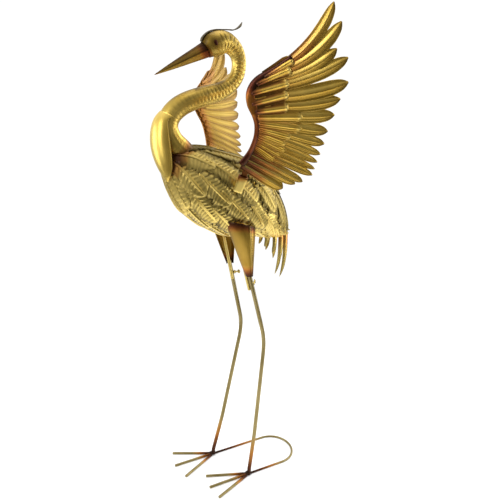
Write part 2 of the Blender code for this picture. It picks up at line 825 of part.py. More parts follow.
def make_thigh(side, material, cutter):
    """A half cone of sheet round the outside of the leg, its slanting rim set against the body."""
    outward = Vector((0, -1 if side == "left" else 1, 0))
    hip = hip_place(side)
    direction = upper_leg_direction(side)
    foot = hip + direction * (THIGH_FOOT - hip.z) / direction.z
    top = Vector((THIGH_TOP_BACK, hip.y, THIGH_TOP))
    foot_depth = (leg_clearance() + SHEET) / math.cos(math.pi / 2 / THIGH_SIDES) / (1 - THIGH_SET_IN)
    rings = []
    for share in THIGH_RINGS:
        centre = top.lerp(foot, share)
        half = (THIGH_TOP_LENGTH + (THIGH_FOOT_LENGTH - THIGH_TOP_LENGTH) * share) / 2
        depth = THIGH_TOP_DEPTH + (foot_depth - THIGH_TOP_DEPTH) * share
        slope = THIGH_RIM_SLOPE * (1 - share)
        along_rim = Vector((1, 0, -slope))
        inner = centre - outward * depth * THIGH_SET_IN
        rings.append(trough(inner, along_rim, outward, half, depth, SHEET, THIGH_SIDES))
    bm = bmesh.new()
    loft(bm, rings)
    thigh = add_object("thigh_" + side, bm, material)
    return seat_on(thigh, cutter)


def make_toes(side, material):
    """Three rods that fan forwards from the foot of the leg, the outer two mitred to the middle."""
    foot = foot_place(side)
    foot.z = TOE_ROD / 2
    toes = []
    half = TOE_ROD / 2
    for name, turn in (("inner", -1), ("middle", 0), ("outer", 1)):
        outside = -1 if side == "left" else 1
        angle = TOE_SPLAY[side] * turn * outside
        direction = Vector((-math.cos(angle), math.sin(angle), 0))
        start = foot - direction * (LEG_ROD / 2 if turn == 0 else 0)
        path = [start, foot + direction * TOE_LENGTH * TOE_TAPER_SHARE, foot + direction * TOE_LENGTH]
        bm = bmesh.new()
        rings = []
        for share, (point, _, across, up) in zip((1.0, 1.0, TOE_TIP_SIZE), frames(path, Vector((0, 0, 1)))):
            point.z = half * share
            radius = corner_radius(TOE_ROD) * share
            rings.append(ellipse(point, across, up, radius, radius, ROD_SIDES, math.pi / ROD_SIDES))
        loft(bm, rings)
        if turn:
            mitre = Vector((0, math.copysign(1, angle), 0))
            clear = half + GAP
            cut = bmesh.ops.bisect_plane(
                bm,
                geom=bm.verts[:] + bm.edges[:] + bm.faces[:],
                plane_co=foot + mitre * clear,
                plane_no=mitre,
                clear_inner=True,
            )
            edges = [item for item in cut["geom_cut"] if isinstance(item, bmesh.types.BMEdge)]
            bmesh.ops.holes_fill(bm, edges=edges)
        toes.append(add_object(f"toe_{name}_{side}", bm, material))
    return toes


def make_heel_loop(material):
    """The wire that joins both heels behind the bird and keeps it from tipping back."""
    half = FOOT_SPREAD / 2
    height = HEEL_WIRE / 2
    clear = LEG_ROD / 2 + GAP
    path = [(foot_place("right").x + clear, half, height)]
    for step in range(HEEL_STEPS + 1):
        angle = math.pi / 2 - math.pi * step / HEEL_STEPS
        path.append((HEEL_REACH + half * math.cos(angle), half * math.sin(angle), height))
    path.append((foot_place("left").x + clear, -half, height))
    return rod("heel_loop", path, HEEL_WIRE, material)


def make_tail(material, cutter):
    """Pairs of pointed strips that droop under the rump, longer towards the back."""
    strips = []
    for index, (back, aside, tip_height, hook) in enumerate(TAIL_STRIPS, start=1):
        for side, sign in (("left", -1), ("right", 1)):
            length = TAIL_ROOT - tip_height
            rings = []
            for share, width in TAIL_OUTLINE:
                centre = Vector((back - hook * share**3, sign * aside, TAIL_ROOT - length * share))
                rings.append(
                    ellipse(
                        centre, Vector((1, 0, 0)), Vector((0, 1, 0)), TAIL_WIDTH * width / math.sqrt(2),
                        SHEET / math.sqrt(2), 4, math.pi / 4,
                    )
                )
            rings.append([Vector((back - hook, sign * aside, tip_height))])
            bm = bmesh.new()
            loft(bm, rings)
            strip = add_object(f"tail_strip_{index}_{side}", bm, material)
            strips.append(seat_on(strip, cutter))
    return strips


def stand_at_origin(pieces):
    """Parents everything to an empty that puts the middle of the whole box at the origin."""
    bpy.context.view_layer.update()
    corners = [piece.matrix_world @ Vector(corner) for piece in pieces for corner in piece.bound_box]
    low = Vector(min(corner[axis] for corner in corners) for axis in range(3))
    high = Vector(max(corner[axis] for corner in corners) for axis in range(3))
    anchor = bpy.data.objects.new("crane", None)
    bpy.context.scene.collection.objects.link(anchor)
    anchor.location = (-(low.x + high.x) / 2, -(low.y + high.y) / 2, -low.z)
    for piece in pieces:
        piece.parent = anchor
    for piece in bpy.data.objects:
        if piece.hide_render:
            piece.parent = anchor


def main():
    clear_scene()
    gold = metal("gold", GOLD, 0.35)
    champagne = metal("champagne_gold", CHAMPAGNE, 0.40)
    copper = metal("heat_tinted_gold", COPPER_GOLD, 0.38)
    rods = metal("rod_gold", DARK_GOLD, 0.45)
    brown = metal("browned_strip", WELD_BROWN, 0.50)
    body = make_body("body", champagne)
    cutter = make_body("body_clearance", champagne, BODY_CLEARANCE)
    cutter.hide_render = True
    cutter.display_type = "WIRE"
    neck = make_head_and_neck(gold)
    pieces = [body]
    pieces.append(make_beak(copper))
    pieces.append(make_crest(brown))
    breast = make_breast_plate(gold)
    pieces.append(seat_on(breast, cutter))
    pieces.append(seat_on(neck, cutter))
    wing = make_wing(gold)
    bracket = make_bracket(champagne)
    fittings = [wing, bracket, mirrored(wing, "wing_right"), mirrored(bracket, "wing_bracket_right")]
    pieces += [seat_on(piece, cutter) for piece in fittings]
    for side in ("left", "right"):
        pieces.append(make_leg(side, rods))
        pieces.append(make_peg(side, rods, cutter))
        pieces.append(make_screw(side, rods))
        pieces.append(make_thigh(side, copper, cutter))
        pieces += make_toes(side, rods)
    pieces.append(make_heel_loop(rods))
    pieces += make_tail(champagne, cutter)
    stand_at_origin(pieces)


main()
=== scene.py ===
# %% [markdown]
# # A standing crane in gold sheet metal
#
# The real thing is a garden figurine about a metre tall. Its body is a shell covered with
# stamped leaf plates, its neck is a formed tube, its wings are pressed sheet, and it stands on
# two rods with wire feet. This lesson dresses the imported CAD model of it: every piece here is
# modelled in the CAD's own frame, in metres, so it needs no fitting afterwards.

# %% Load the frame
import math

import bmesh
import bpy
from mathutils import Matrix, Vector, noise


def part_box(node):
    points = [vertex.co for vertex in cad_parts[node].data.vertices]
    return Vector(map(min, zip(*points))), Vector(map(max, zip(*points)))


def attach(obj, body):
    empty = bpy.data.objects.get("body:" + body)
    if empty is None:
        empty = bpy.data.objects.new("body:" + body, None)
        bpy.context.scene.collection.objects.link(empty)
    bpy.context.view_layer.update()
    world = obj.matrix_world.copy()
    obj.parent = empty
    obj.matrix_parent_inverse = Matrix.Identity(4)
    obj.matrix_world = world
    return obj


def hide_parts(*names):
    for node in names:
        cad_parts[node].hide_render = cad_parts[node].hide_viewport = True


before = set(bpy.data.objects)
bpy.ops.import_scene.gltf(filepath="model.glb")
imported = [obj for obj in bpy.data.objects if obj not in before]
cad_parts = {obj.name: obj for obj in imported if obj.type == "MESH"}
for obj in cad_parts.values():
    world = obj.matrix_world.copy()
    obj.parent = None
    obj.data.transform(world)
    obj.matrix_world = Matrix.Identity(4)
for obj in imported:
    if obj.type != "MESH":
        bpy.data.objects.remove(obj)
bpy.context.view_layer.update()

# %% [markdown]
# ## Where the bird stands
#
# The CAD model was drawn round its own working origin between the feet and then moved so that
# the middle of its box is at zero. The right middle toe ends exactly half a leg rod behind that
# working origin, so its box tells how far the model was moved. All the measures below are in
# the working frame, and each finished piece is moved by the same amount.

# %% The working frame
LEG_ROD = 0.0090
TOE_ROD = 0.0060
MOVED = Vector((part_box("toe_middle_right")[1].x - LEG_ROD / 2, 0, 0))
ACROSS = Vector((0, 1, 0))
UPRIGHT = Vector((0, 0, 1))
print("the model was moved by", round(MOVED.x, 4))

# %% [markdown]
# ## The camera
#
# The photograph looks down a little from the front left, from about a metre away. Perspective
# is strong at that distance, so the distance matters as much as the angle: the near wing would
# be too small from farther off. The small sideways shift puts the bird left of the middle, as
# the photograph has it.

# %% Camera
CAMERA_TURN = math.radians(25.8)
CAMERA_HEIGHT = 0.851
CAMERA_AIM = 0.552
PHOTO_WIDTH = 500
FOCAL_PIXELS = 492.64
MIDDLE_COLUMN = 222.14

camera_data = bpy.data.cameras.new("camera")
camera_data.sensor_width = 36
camera_data.lens = camera_data.sensor_width * FOCAL_PIXELS / PHOTO_WIDTH
camera_data.shift_x = (PHOTO_WIDTH / 2 - MIDDLE_COLUMN) / PHOTO_WIDTH
camera = bpy.data.objects.new("camera", camera_data)
camera.location = MOVED + Vector((-math.sin(CAMERA_TURN), -math.cos(CAMERA_TURN), CAMERA_HEIGHT))
aim = MOVED + UPRIGHT * CAMERA_AIM - camera.location
camera.rotation_euler = aim.to_track_quat("-Z", "Y").to_euler()
bpy.context.scene.collection.objects.link(camera)
bpy.context.scene.camera = camera
print("camera", tuple(round(c, 3) for c in camera.location), "lens", round(camera_data.lens, 2))

# %% [markdown]
# ## Light and floor
#
# Polished gold shows what is round it, so a plain white room would leave it flat. The room here
# is white to the eye, but what the metal reflects is a grey studio: bright overhead and at the
# backdrop, darker low down and behind the camera. Soft boxes on both sides draw the streaks.
# The standard view transform keeps the strong yellow that a filmic one would wash out.


# %% Room
BACKDROP_WAY = (0.10, 0.55, 0.75)
BACKDROP_REACH = (-0.75, 0.72)
ROOM_TONES = ((0.0, (0.11, 0.105, 0.09)), (0.42, (0.25, 0.25, 0.24)), (1.0, (1.0, 0.99, 0.96)))
REFLECTED_STRENGTH = 0.9
SEEN_STRENGTH = 1.05
LIT_POINT = Vector((0, 0, 0.6))
SOFT_BOXES = (
    ("left_box", (-1.8, -0.9, 1.4), (0.7, 1.5), 13),
    ("right_box", (1.5, -1.6, 1.5), (0.5, 1.2), 7),
    ("top_box", (0.3, 0.2, 2.4), (1.3, 1.3), 12),
    ("far_left_box", (-1.7, 0.5, 0.75), (1.0, 1.2), 10),
    ("far_right_box", (1.7, 0.15, 1.35), (0.9, 1.2), 9),
    ("low_right_box", (1.5, -0.7, 0.4), (0.8, 0.8), 7),
)


def studio_world():
    """White where the camera and soft light look, and the grey studio in what the metal reflects."""
    world = bpy.data.worlds.new("studio")
    world.use_nodes = True
    nodes = world.node_tree.nodes
    links = world.node_tree.links
    nodes.clear()
    direction = nodes.new("ShaderNodeTexCoord")
    towards = nodes.new("ShaderNodeVectorMath")
    towards.operation = "DOT_PRODUCT"
    towards.inputs[1].default_value = BACKDROP_WAY
    links.new(direction.outputs["Generated"], towards.inputs[0])
    height = nodes.new("ShaderNodeMapRange")
    height.inputs["From Min"].default_value, height.inputs["From Max"].default_value = BACKDROP_REACH
    links.new(towards.outputs["Value"], height.inputs["Value"])
    tones = nodes.new("ShaderNodeValToRGB")
    tones.color_ramp.elements.new(0.5)
    for element, (place, color) in zip(tones.color_ramp.elements, ROOM_TONES):
        element.position = place
        element.color = (*color, 1)
    links.new(height.outputs[0], tones.inputs[0])
    reflected = nodes.new("ShaderNodeBackground")
    links.new(tones.outputs[0], reflected.inputs["Color"])
    reflected.inputs["Strength"].default_value = REFLECTED_STRENGTH
    seen = nodes.new("ShaderNodeBackground")
    seen.inputs["Color"].default_value = (1, 1, 1, 1)
    seen.inputs["Strength"].default_value = SEEN_STRENGTH
    ray = nodes.new("ShaderNodeLightPath")
    even = nodes.new("ShaderNodeMath")
    even.operation = "MAXIMUM"
    links.new(ray.outputs["Is Camera Ray"], even.inputs[0])
    links.new(ray.outputs["Is Diffuse Ray"], even.inputs[1])
    choose = nodes.new("ShaderNodeMixShader")
    links.new(even.outputs[0], choose.inputs[0])
    links.new(reflected.outputs[0], choose.inputs[1])
    links.new(seen.outputs[0], choose.inputs[2])
    out = nodes.new("ShaderNodeOutputWorld")
    links.new(choose.outputs[0], out.inputs["Surface"])
    return world


def soft_box(name, place, size, power):
    """A rectangular lamp turned towards the bird."""
    light = bpy.data.lights.new(name, "AREA")
    light.shape = "RECTANGLE"
    light.size, light.size_y = size
    light.energy = power
    lamp = bpy.data.objects.new(name, light)
    lamp.location = place
    lamp.rotation_euler = (LIT_POINT - lamp.location).to_track_quat("-Z", "Y").to_euler()
    bpy.context.scene.collection.objects.link(lamp)


bpy.context.scene.world = studio_world()
bpy.context.scene.view_settings.view_transform = "Standard"
for name, place, size, power in SOFT_BOXES:
    soft_box(name, Vector(place), size, power)

# %% Floor
FLOOR_RADIUS = 0.80
FLOOR_COLOR = (0.95, 0.95, 0.945, 1)
floor_mesh = bpy.data.meshes.new("floor")
floor_bm = bmesh.new()
bmesh.ops.create_circle(floor_bm, cap_ends=True, segments=96, radius=FLOOR_RADIUS)
floor_bm.to_mesh(floor_mesh)
floor_bm.free()
floor_paint = bpy.data.materials.new("pale_floor")
floor_paint.use_nodes = True
floor_shader = floor_paint.node_tree.nodes["Principled BSDF"]
floor_shader.inputs["Base Color"].default_value = FLOOR_COLOR
floor_shader.inputs["Specular IOR Level"].default_value = 0.0
floor_shader.inputs["Roughness"].default_value = 0.9
floor_mesh.materials.append(floor_paint)
floor = bpy.data.objects.new("floor", floor_mesh)
bpy.context.scene.collection.objects.link(floor)
print("floor", FLOOR_RADIUS * 2, "m wide")

# %% [markdown]
# ## Gold lacquer
#
# The steel was sprayed with a clear gold lacquer and heated at the welds, where the lacquer
# turned copper, then maroon, then brown. One recipe serves every piece. Three numbers that each
# mesh carries at its points steer it: temper, for the tint near a weld or a flame-coloured edge,
# shade, for painted shade in grooves, slits, gaps and on upward faces, and also for the real
# brown film near the welds, and a third, for painted highlights on ridges and lit sides and for a
# paler tone on a few fittings. Noise on Object coordinates breaks each of them up, so that no
# border is a clean line.


# %% Lacquer recipe
class Recipe:
    """A short way to add nodes to a material and join them."""

    def __init__(self, name):
        self.material = bpy.data.materials.new(name)
        self.material.use_nodes = True
        self.nodes = self.material.node_tree.nodes
        self.links = self.material.node_tree.links
        self.shader = self.nodes["Principled BSDF"]

    def add(self, kind, inputs=None, **settings):
        node = self.nodes.new(kind)
        for setting, value in settings.items():
            setattr(node, setting, value)
        for socket, value in (inputs or {}).items():
            if isinstance(value, bpy.types.NodeSocket):
                self.links.new(value, node.inputs[socket])
            else:
                node.inputs[socket].default_value = value
        return node

    def noise(self, scale, detail=3.0, stretch=(1, 1, 1)):
        place = self.add("ShaderNodeTexCoord").outputs["Object"]
        turned = self.add("ShaderNodeMapping", {"Vector": place, "Scale": stretch}).outputs[0]
        return self.add("ShaderNodeTexNoise", {"Vector": turned, "Scale": scale, "Detail": detail}).outputs[0]

    def carried(self, name):
        return self.add("ShaderNodeAttribute", attribute_name=name).outputs["Fac"]

    def maths(self, operation, first, second, clamp=False):
        inputs = {0: first, 1: second}
        return self.add("ShaderNodeMath", inputs, operation=operation, use_clamp=clamp).outputs[0]

    def between(self, value, low, high, new_low=0.0, new_high=1.0):
        inputs = {"Value": value, "From Min": low, "From Max": high, "To Min": new_low, "To Max": new_high}
        return self.add("ShaderNodeMapRange", inputs).outputs[0]

    def ramp(self, value, stops):
        node = self.add("ShaderNodeValToRGB", {0: value})
        band = node.color_ramp
        while len(band.elements) < len(stops):
            band.elements.new(0.5)
        for element, (place, color) in zip(band.elements, stops):
            element.position = place
            element.color = (*color, 1)
        return node.outputs[0]

    def mix(self, factor, first, second):
        node = self.add("ShaderNodeMix", data_type="RGBA")
        for socket, value in ((0, factor), (6, first), (7, second)):
            if isinstance(value, bpy.types.NodeSocket):
                self.links.new(value, node.inputs[socket])
            elif isinstance(value, tuple):
                node.inputs[socket].default_value = (*value, 1)
            else:
                node.inputs[socket].default_value = value
        return node.outputs[2]


HEAT_COLORS = (
    (0.00, (0.62, 0.35, 0.06)),
    (0.35, (0.54, 0.21, 0.035)),
    (0.62, (0.27, 0.070, 0.018)),
    (0.82, (0.10, 0.024, 0.012)),
    (1.00, (0.035, 0.015, 0.008)),
)
BRIGHT_GOLD = (0.97, 0.73, 0.20)
PATCH_SCALE = 16.0
STREAK_SCALE = 60.0
STREAK_STRETCH = (1.0, 1.0, 0.35)
GRAIN_SCALE = 900.0
DIMPLE_SHARE = 0.60
GRAIN_SHARE = 0.015
RELIEF_DEPTH = 0.0012
FILM_DULLNESS = 0.18


def gold_lacquer(name, pale, middle, shade_and_film, polish=(0.26, 0.44)):
    """Gold lacquer from its pale to its middle tone, with one dark colour for painted shade and the brown
    film, and bright gold for painted highlights.
    """
    made = Recipe(name)
    broad = made.noise(PATCH_SCALE, 3.0)
    streak = made.noise(STREAK_SCALE, 2.0, STREAK_STRETCH)
    grain = made.noise(GRAIN_SCALE, 2.0)
    tone = made.maths("ADD", made.maths("MULTIPLY", broad, 0.6), made.maths("MULTIPLY", streak, 0.4))
    color = made.ramp(tone, ((0.34, middle), (0.62, pale)))
    ragged = made.between(streak, 0.3, 0.7, -0.07, 0.07)
    heat = made.carried("temper")
    tint = made.maths("ADD", heat, made.maths("MULTIPLY", ragged, made.between(heat, 0.0, 0.3)))
    color = made.mix(made.between(tint, 0.02, 0.30), color, made.ramp(tint, HEAT_COLORS))
    # shade mixes in the dark colour: painted shade in grooves, gaps and on upward faces, and the real brown
    # film near welds
    groove = made.carried("shade")
    groove = made.maths("ADD", groove, made.maths("MULTIPLY", ragged, made.between(groove, 0.0, 0.3)))
    color = made.mix(made.between(groove, 0.0, 1.0), color, shade_and_film)
    # the third number mixes in bright gold: painted highlights, and a paler tone on a few fittings
    color = made.mix(made.between(made.carried("highlight_and_pale"), 0.0, 1.0), color, BRIGHT_GOLD)
    made.links.new(color, made.shader.inputs["Base Color"])
    gloss = made.between(broad, 0.3, 0.7, *polish)
    gloss = made.maths("ADD", gloss, made.maths("MULTIPLY", groove, FILM_DULLNESS), clamp=True)
    made.links.new(gloss, made.shader.inputs["Roughness"])
    made.shader.inputs["Metallic"].default_value = 0.96
    made.shader.inputs["Coat Weight"].default_value = 0.14
    made.shader.inputs["Coat Roughness"].default_value = 0.16
    dimples = made.maths("MULTIPLY", streak, DIMPLE_SHARE)
    height = made.maths("ADD", dimples, made.maths("MULTIPLY", grain, GRAIN_SHARE))
    bump = made.add("ShaderNodeBump", {"Height": height, "Distance": RELIEF_DEPTH, "Strength": 0.35})
    made.links.new(bump.outputs[0], made.shader.inputs["Normal"])
    return made.material


gold = gold_lacquer("gold_lacquer", (0.88, 0.62, 0.13), (0.68, 0.42, 0.05), (0.13, 0.075, 0.008))
wing_gold = gold_lacquer(
    "wing_lacquer", (0.82, 0.53, 0.085), (0.60, 0.35, 0.035), (0.085, 0.045, 0.006), (0.30, 0.46)
)
champagne = gold_lacquer("champagne_lacquer", (0.82, 0.62, 0.19), (0.58, 0.42, 0.09), (0.035, 0.024, 0.006))
copper = gold_lacquer("copper_lacquer", (0.60, 0.38, 0.065), (0.40, 0.235, 0.03), (0.05, 0.022, 0.006))
rod_gold = gold_lacquer(
    "rod_lacquer", (0.34, 0.27, 0.115), (0.21, 0.16, 0.055), (0.03, 0.013, 0.006), (0.30, 0.46)
)
brown = gold_lacquer(
    "browned_lacquer", (0.16, 0.12, 0.05), (0.08, 0.058, 0.026), (0.02, 0.012, 0.008), (0.35, 0.5)
)
print("lacquers:", gold.name, wing_gold.name, champagne.name, copper.name, rod_gold.name, brown.name)

# %% [markdown]
# ## Ways of shaping
#
# A few short helpers are enough for the whole bird. A flat grid is bent into a sheet, a ring is
# drawn out along a path into a tube, a curve through a few knots gives each path, and one
# function gives a finished mesh its material, its sheet thickness and its place on the CAD.
# Short tables of (share, value) rows say how a width or a tint changes along a piece, and two
# small functions, a ramp and a bell, fade one thing into another.


# %% Curves and steps
def smooth_path(knots, steps):
    """Points on a smooth curve through the knots, with every number of a knot carried along."""
    first = tuple(2 * a - b for a, b in zip(knots[0], knots[1]))
    last = tuple(2 * a - b for a, b in zip(knots[-1], knots[-2]))
    padded = [first, *knots, last]
    points = []
    for a, b, c, d in zip(padded, padded[1:], padded[2:], padded[3:]):
        for step in range(steps):
            t = step / steps
            points.append(
                tuple(
                    q + 0.5 * t * (r - p + t * (2 * p - 5 * q + 4 * r - s + t * (3 * (q - r) + s - p)))
                    for p, q, r, s in zip(a, b, c, d)
                )
            )
    points.append(tuple(knots[-1]))
    return points


def table_value(table, share):
    """The value that a table of (share, value) rows gives between its rows."""
    for (low, first), (high, second) in zip(table, table[1:]):
        if share <= high:
            return first + (second - first) * max(0.0, share - low) / (high - low)
    return table[-1][1]


def between_steps(items, share):
    """The two neighbours in a list at a share of its steps, and how far on it is from the first."""
    spot = share * (len(items) - 1)
    low = min(int(spot), len(items) - 2)
    return items[low], items[low + 1], spot - low


def along(points, share):
    """The point at a share of a path's length."""
    spans = [(Vector(b) - Vector(a)).length for a, b in zip(points, points[1:])]
    left = share * sum(spans)
    for a, b, span in zip(points, points[1:], spans):
        if left <= span:
            return Vector(a).lerp(Vector(b), left / span)
        left -= span
    return Vector(points[-1])


def ramp(value, start, end):
    """0 up to the start and 1 from the end on, evenly between. The end may lie below the start."""
    return min(1.0, max(0.0, (value - start) / (end - start)))


def bell(distance, width):
    """A smooth bump that is 1 in the middle and nearly 0 one width away."""
    return math.exp(-((distance / width) ** 2) * 2)


def skyward(way):
    """The direction or its opposite, whichever points up."""
    return way if way.z > 0 else -way


def frames_along(path, side):
    """The point, heading and two cross directions at each point of a path."""
    path = [Vector(point) for point in path]
    found = []
    for i, point in enumerate(path):
        heading = (path[min(i + 1, len(path) - 1)] - path[max(i - 1, 0)]).normalized()
        across = (side - side.dot(heading) * heading).normalized()
        found.append((point, heading, across, heading.cross(across)))
    return found


print("halfway up a two-step table:", table_value(((0, 0), (1, 10)), 0.5))


# %% Sheets and tubes
def lacquer_layers(bm):
    """The three numbers that each point carries for its lacquer."""
    names = ("temper", "shade", "highlight_and_pale")
    for name in names:
        if not bm.verts.layers.float.get(name):
            bm.verts.layers.float.new(name)
    return [bm.verts.layers.float[name] for name in names]


def bend_sheet(bm, columns, rows, place, paint=None):
    """Adds a flat grid and bends it. Both functions get how far across (-1 to 1) and along (0 to 1)."""
    layers = lacquer_layers(bm)
    made = bmesh.ops.create_grid(bm, x_segments=columns, y_segments=rows, size=1.0)
    for vert in made["verts"]:
        u = vert.co.x
        v = (vert.co.y + 1) / 2
        vert.co = place(u, v)
        if paint:
            for layer, value in zip(layers, paint(u, v)):
                vert[layer] = value
    return made["verts"]


def draw_tube(bm, stations, sides, closed=True):
    """Draws a ring along stations of (centre, across, up, half across, half up). Returns its rings."""
    lacquer_layers(bm)
    ring = bmesh.ops.create_circle(bm, radius=1.0, segments=sides)["verts"]
    edges = [edge for edge in bm.edges if edge.verts[0] in set(ring) and edge.verts[1] in set(ring)]
    shape = Matrix.Identity(4)
    rings = []
    ends = []
    for index, (centre, across, up, half_across, half_up) in enumerate(stations):
        turned = Matrix((across * half_across, up * half_up, across.cross(up))).transposed().to_4x4()
        turned.translation = centre
        if index:
            drawn = bmesh.ops.extrude_edge_only(bm, edges=edges)["geom"]
            ring = [item for item in drawn if isinstance(item, bmesh.types.BMVert)]
            fresh = set(ring)
            edges = [
                item for item in drawn
                if isinstance(item, bmesh.types.BMEdge) and item.verts[0] in fresh and item.verts[1] in fresh
            ]
        bmesh.ops.transform(bm, matrix=turned @ shape.inverted(), verts=ring)
        shape = turned
        rings.append(ring)
        ends.append(edges)
    if closed:
        bmesh.ops.edgeloop_fill(bm, edges=ends[0])
        bmesh.ops.edgeloop_fill(bm, edges=ends[-1])
    return rings


def draw_bar(bm, stations, closed=True):
    """Draws a rectangle along stations of (centre, half its width, half its thickness), all vectors."""
    corners = []
    for centre, wide, thick in stations:
        one = wide + thick
        other = wide - thick
        corners.append((centre, one.normalized(), other.normalized(), one.length, other.length))
    return draw_tube(bm, corners, 4, closed)


def paint_points(bm, verts, paint):
    """Sets the three numbers of the lacquer at points, from a function of the place."""
    layers = lacquer_layers(bm)
    for vert in verts:
        for layer, value in zip(layers, paint(vert.co)):
            vert[layer] = value


ROUNDED_FROM = math.radians(35)


def finish_piece(name, bm, material, nodes=(), sheet=0.0, rounding=0.0, crease=50):
    """Moves the mesh onto the CAD, gives it its lacquer and its thickness, and hides the CAD nodes it stands
    for.
    """
    bmesh.ops.remove_doubles(bm, verts=bm.verts, dist=1e-6)
    bmesh.ops.recalc_face_normals(bm, faces=bm.faces)
    bmesh.ops.translate(bm, vec=MOVED, verts=bm.verts)
    mesh = bpy.data.meshes.new(name)
    bm.to_mesh(mesh)
    bm.free()
    mesh.materials.append(material)
    mesh.shade_smooth()
    mesh.set_sharp_from_angle(angle=math.radians(crease))
    piece = bpy.data.objects.new(name, mesh)
    bpy.context.scene.collection.objects.link(piece)
    if sheet:
        wall = piece.modifiers.new("sheet", "SOLIDIFY")
        wall.thickness = sheet
        wall.offset = 0.0
        wall.use_even_offset = False
        wall.thickness_clamp = 1.0
    if rounding:
        bevel = piece.modifiers.new("rounding", "BEVEL")
        bevel.width = rounding
        bevel.segments = 2
        bevel.limit_method = "ANGLE"
        bevel.angle_limit = ROUNDED_FROM
    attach(piece, "root")
    if nodes:
        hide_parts(*nodes)
    print(name, "faces", len(mesh.polygons))
    return piece


# %% [markdown]
# ## The body
#
# The real body is a closed shell under its plates. The shell is a ring drawn out along the
# body's axis, through a dozen sections read from the side of the bird, and it is painted dull
# and dark all over as painted shade, because only slivers of it show between the plates.

# %% Body measures
BODY_FRONT = Vector((-0.126, 0.0, 0.739))
BODY_PITCH = math.radians(29.4)
BODY_BACK = Vector((math.cos(BODY_PITCH), 0, -math.sin(BODY_PITCH)))
BODY_UP = Vector((math.sin(BODY_PITCH), 0, math.cos(BODY_PITCH)))
BODY_SECTIONS = (
    (0.000, 0.022, -0.008, 0.011),
    (0.012, 0.037, -0.020, 0.025),
    (0.035, 0.056, -0.040, 0.037),
    (0.070, 0.070, -0.061, 0.049),
    (0.110, 0.081, -0.070, 0.057),
    (0.150, 0.088, -0.072, 0.061),
    (0.190, 0.086, -0.068, 0.060),
    (0.225, 0.077, -0.057, 0.054),
    (0.255, 0.063, -0.043, 0.045),
    (0.285, 0.043, -0.032, 0.033),
    (0.308, 0.021, -0.022, 0.021),
    (0.324, 0.003, -0.013, 0.010),
)
BODY_LENGTH = BODY_SECTIONS[-1][0]
BODY_STATIONS = smooth_path(BODY_SECTIONS, 4)


def body_section(distance):
    """Middle, half height and half width of the body at a distance along its axis."""
    distance = min(max(distance, 0.0), BODY_LENGTH)
    for low, high in zip(BODY_STATIONS, BODY_STATIONS[1:]):
        if distance <= high[0]:
            break
    share = (distance - low[0]) / (high[0] - low[0])
    _, top, bottom, half = (a + (b - a) * share for a, b in zip(low, high))
    return (top + bottom) / 2, (top - bottom) / 2, half


def body_place(distance, angle, rise=0.0):
    """A point on the shell, or a rise above it. The angle runs from the back down the left side."""
    middle, half_height, half_width = body_section(distance)
    outward = BODY_UP * half_width * math.cos(angle) - ACROSS * half_height * math.sin(angle)
    height = middle + half_height * math.cos(angle)
    skin = BODY_FRONT + BODY_BACK * distance + BODY_UP * height - ACROSS * half_width * math.sin(angle)
    return skin + outward.normalized() * rise


def body_radius(distance):
    """The radius of a circle about as long round as the body is at a distance along its axis."""
    _, half_height, half_width = body_section(distance)
    return math.sqrt((half_height**2 + half_width**2) / 2)


shell_bm = bmesh.new()
shell_stations = []
for distance, top, bottom, half in BODY_STATIONS:
    centre = BODY_FRONT + BODY_BACK * distance + BODY_UP * (top + bottom) / 2
    shell_stations.append((centre, BODY_UP, -ACROSS, (top - bottom) / 2, half))
draw_tube(shell_bm, shell_stations, 40)
# painted shade: the whole shell is darkened, as it shows only in the gaps between the plates
paint_points(shell_bm, shell_bm.verts, lambda co: (0.0, 0.75, 0.0))
finish_piece("steel_body_shell", shell_bm, champagne, ["body"])

# %% [markdown]
# ## The leaf plates
#
# Stamped leaf plates are spot welded over the shell like shingles, in rows from the breast to
# the rump. Each has a raised spine and slanted slits like the barbs of a feather, and its ragged
# end stands a few millimetres off the shell. Relief in the mesh, not only in a bump map, keeps
# the spines and the shadow lines in every view. The grid of a plate is sheared so that its rows
# run along the barbs: then one row up and one row down is enough for each slit, and the plates
# stay light. The slits and the ragged edges get painted shade, and the spine and the barbs
# between the slits a painted highlight. Plates on the back get painted shade, and those near the
# breast and the rump a painted highlight.

# %% Leaf plates
PLATE_LENGTH = 0.088
PLATE_HALF = 0.0200
PLATE_PITCH = 0.0370
PLATE_STEP = 0.0560
PLATE_START = -0.002
PLATE_ROWS = 6
PLATE_PAST_END = 0.004
PLATE_HEADING = math.radians(21)
PLATE_ROOT_RISE = 0.0003
PLATE_TIP_RISE = 0.0034
PLATE_LEAN = 0.0008
SPINE_RISE = 0.0018
BARB_RISE = 0.0013
BARB_SLANT = 0.22
BARBS = 9
RAGGED = 0.30
PLATE_OUTLINE = ((0.0, 0.50), (0.20, 0.82), (0.50, 1.0), (0.78, 0.92), (0.92, 0.62), (1.0, 0.16))
PLATE_COLUMNS = 8
PLATE_PROFILE = (0.0, 0.06, 0.15, 0.56, 1.0)
FLAT_SPINE = 0.1
FLAT_EDGE = 0.9
EDGE_DROP = 0.0006
LEAST_GIRTH_RADIUS = 0.024
TEAR_SEEDS = (997, 13, 1.7)
SLIT_SHADE = 0.70
EDGE_SHADE = 0.95
SPINE_HIGHLIGHT = 0.75
BARB_HIGHLIGHT = 0.40
SCORCH_REACH = 0.034
SCORCH_HEAT = 0.84
FEWEST_PLATES = 8
TURN_PLAY = 0.10
HEADING_PLAY = 0.12
SLIDE_PLAY = 0.010
RUMP_PAINTED_SHEEN = 1.7
FRONT_PAINTED_SHEEN = 0.45
MOST_PAINTED_SHEEN = 0.85
LEAST_TONE = 0.08
TOP_PAINTED_SHADE = 0.62


def plate_across(u):
    """Draws the columns of a plate's grid together at its spine and its edges."""
    inner, outer, part = between_steps(PLATE_PROFILE, abs(u))
    return math.copysign(inner + (outer - inner) * part, u)


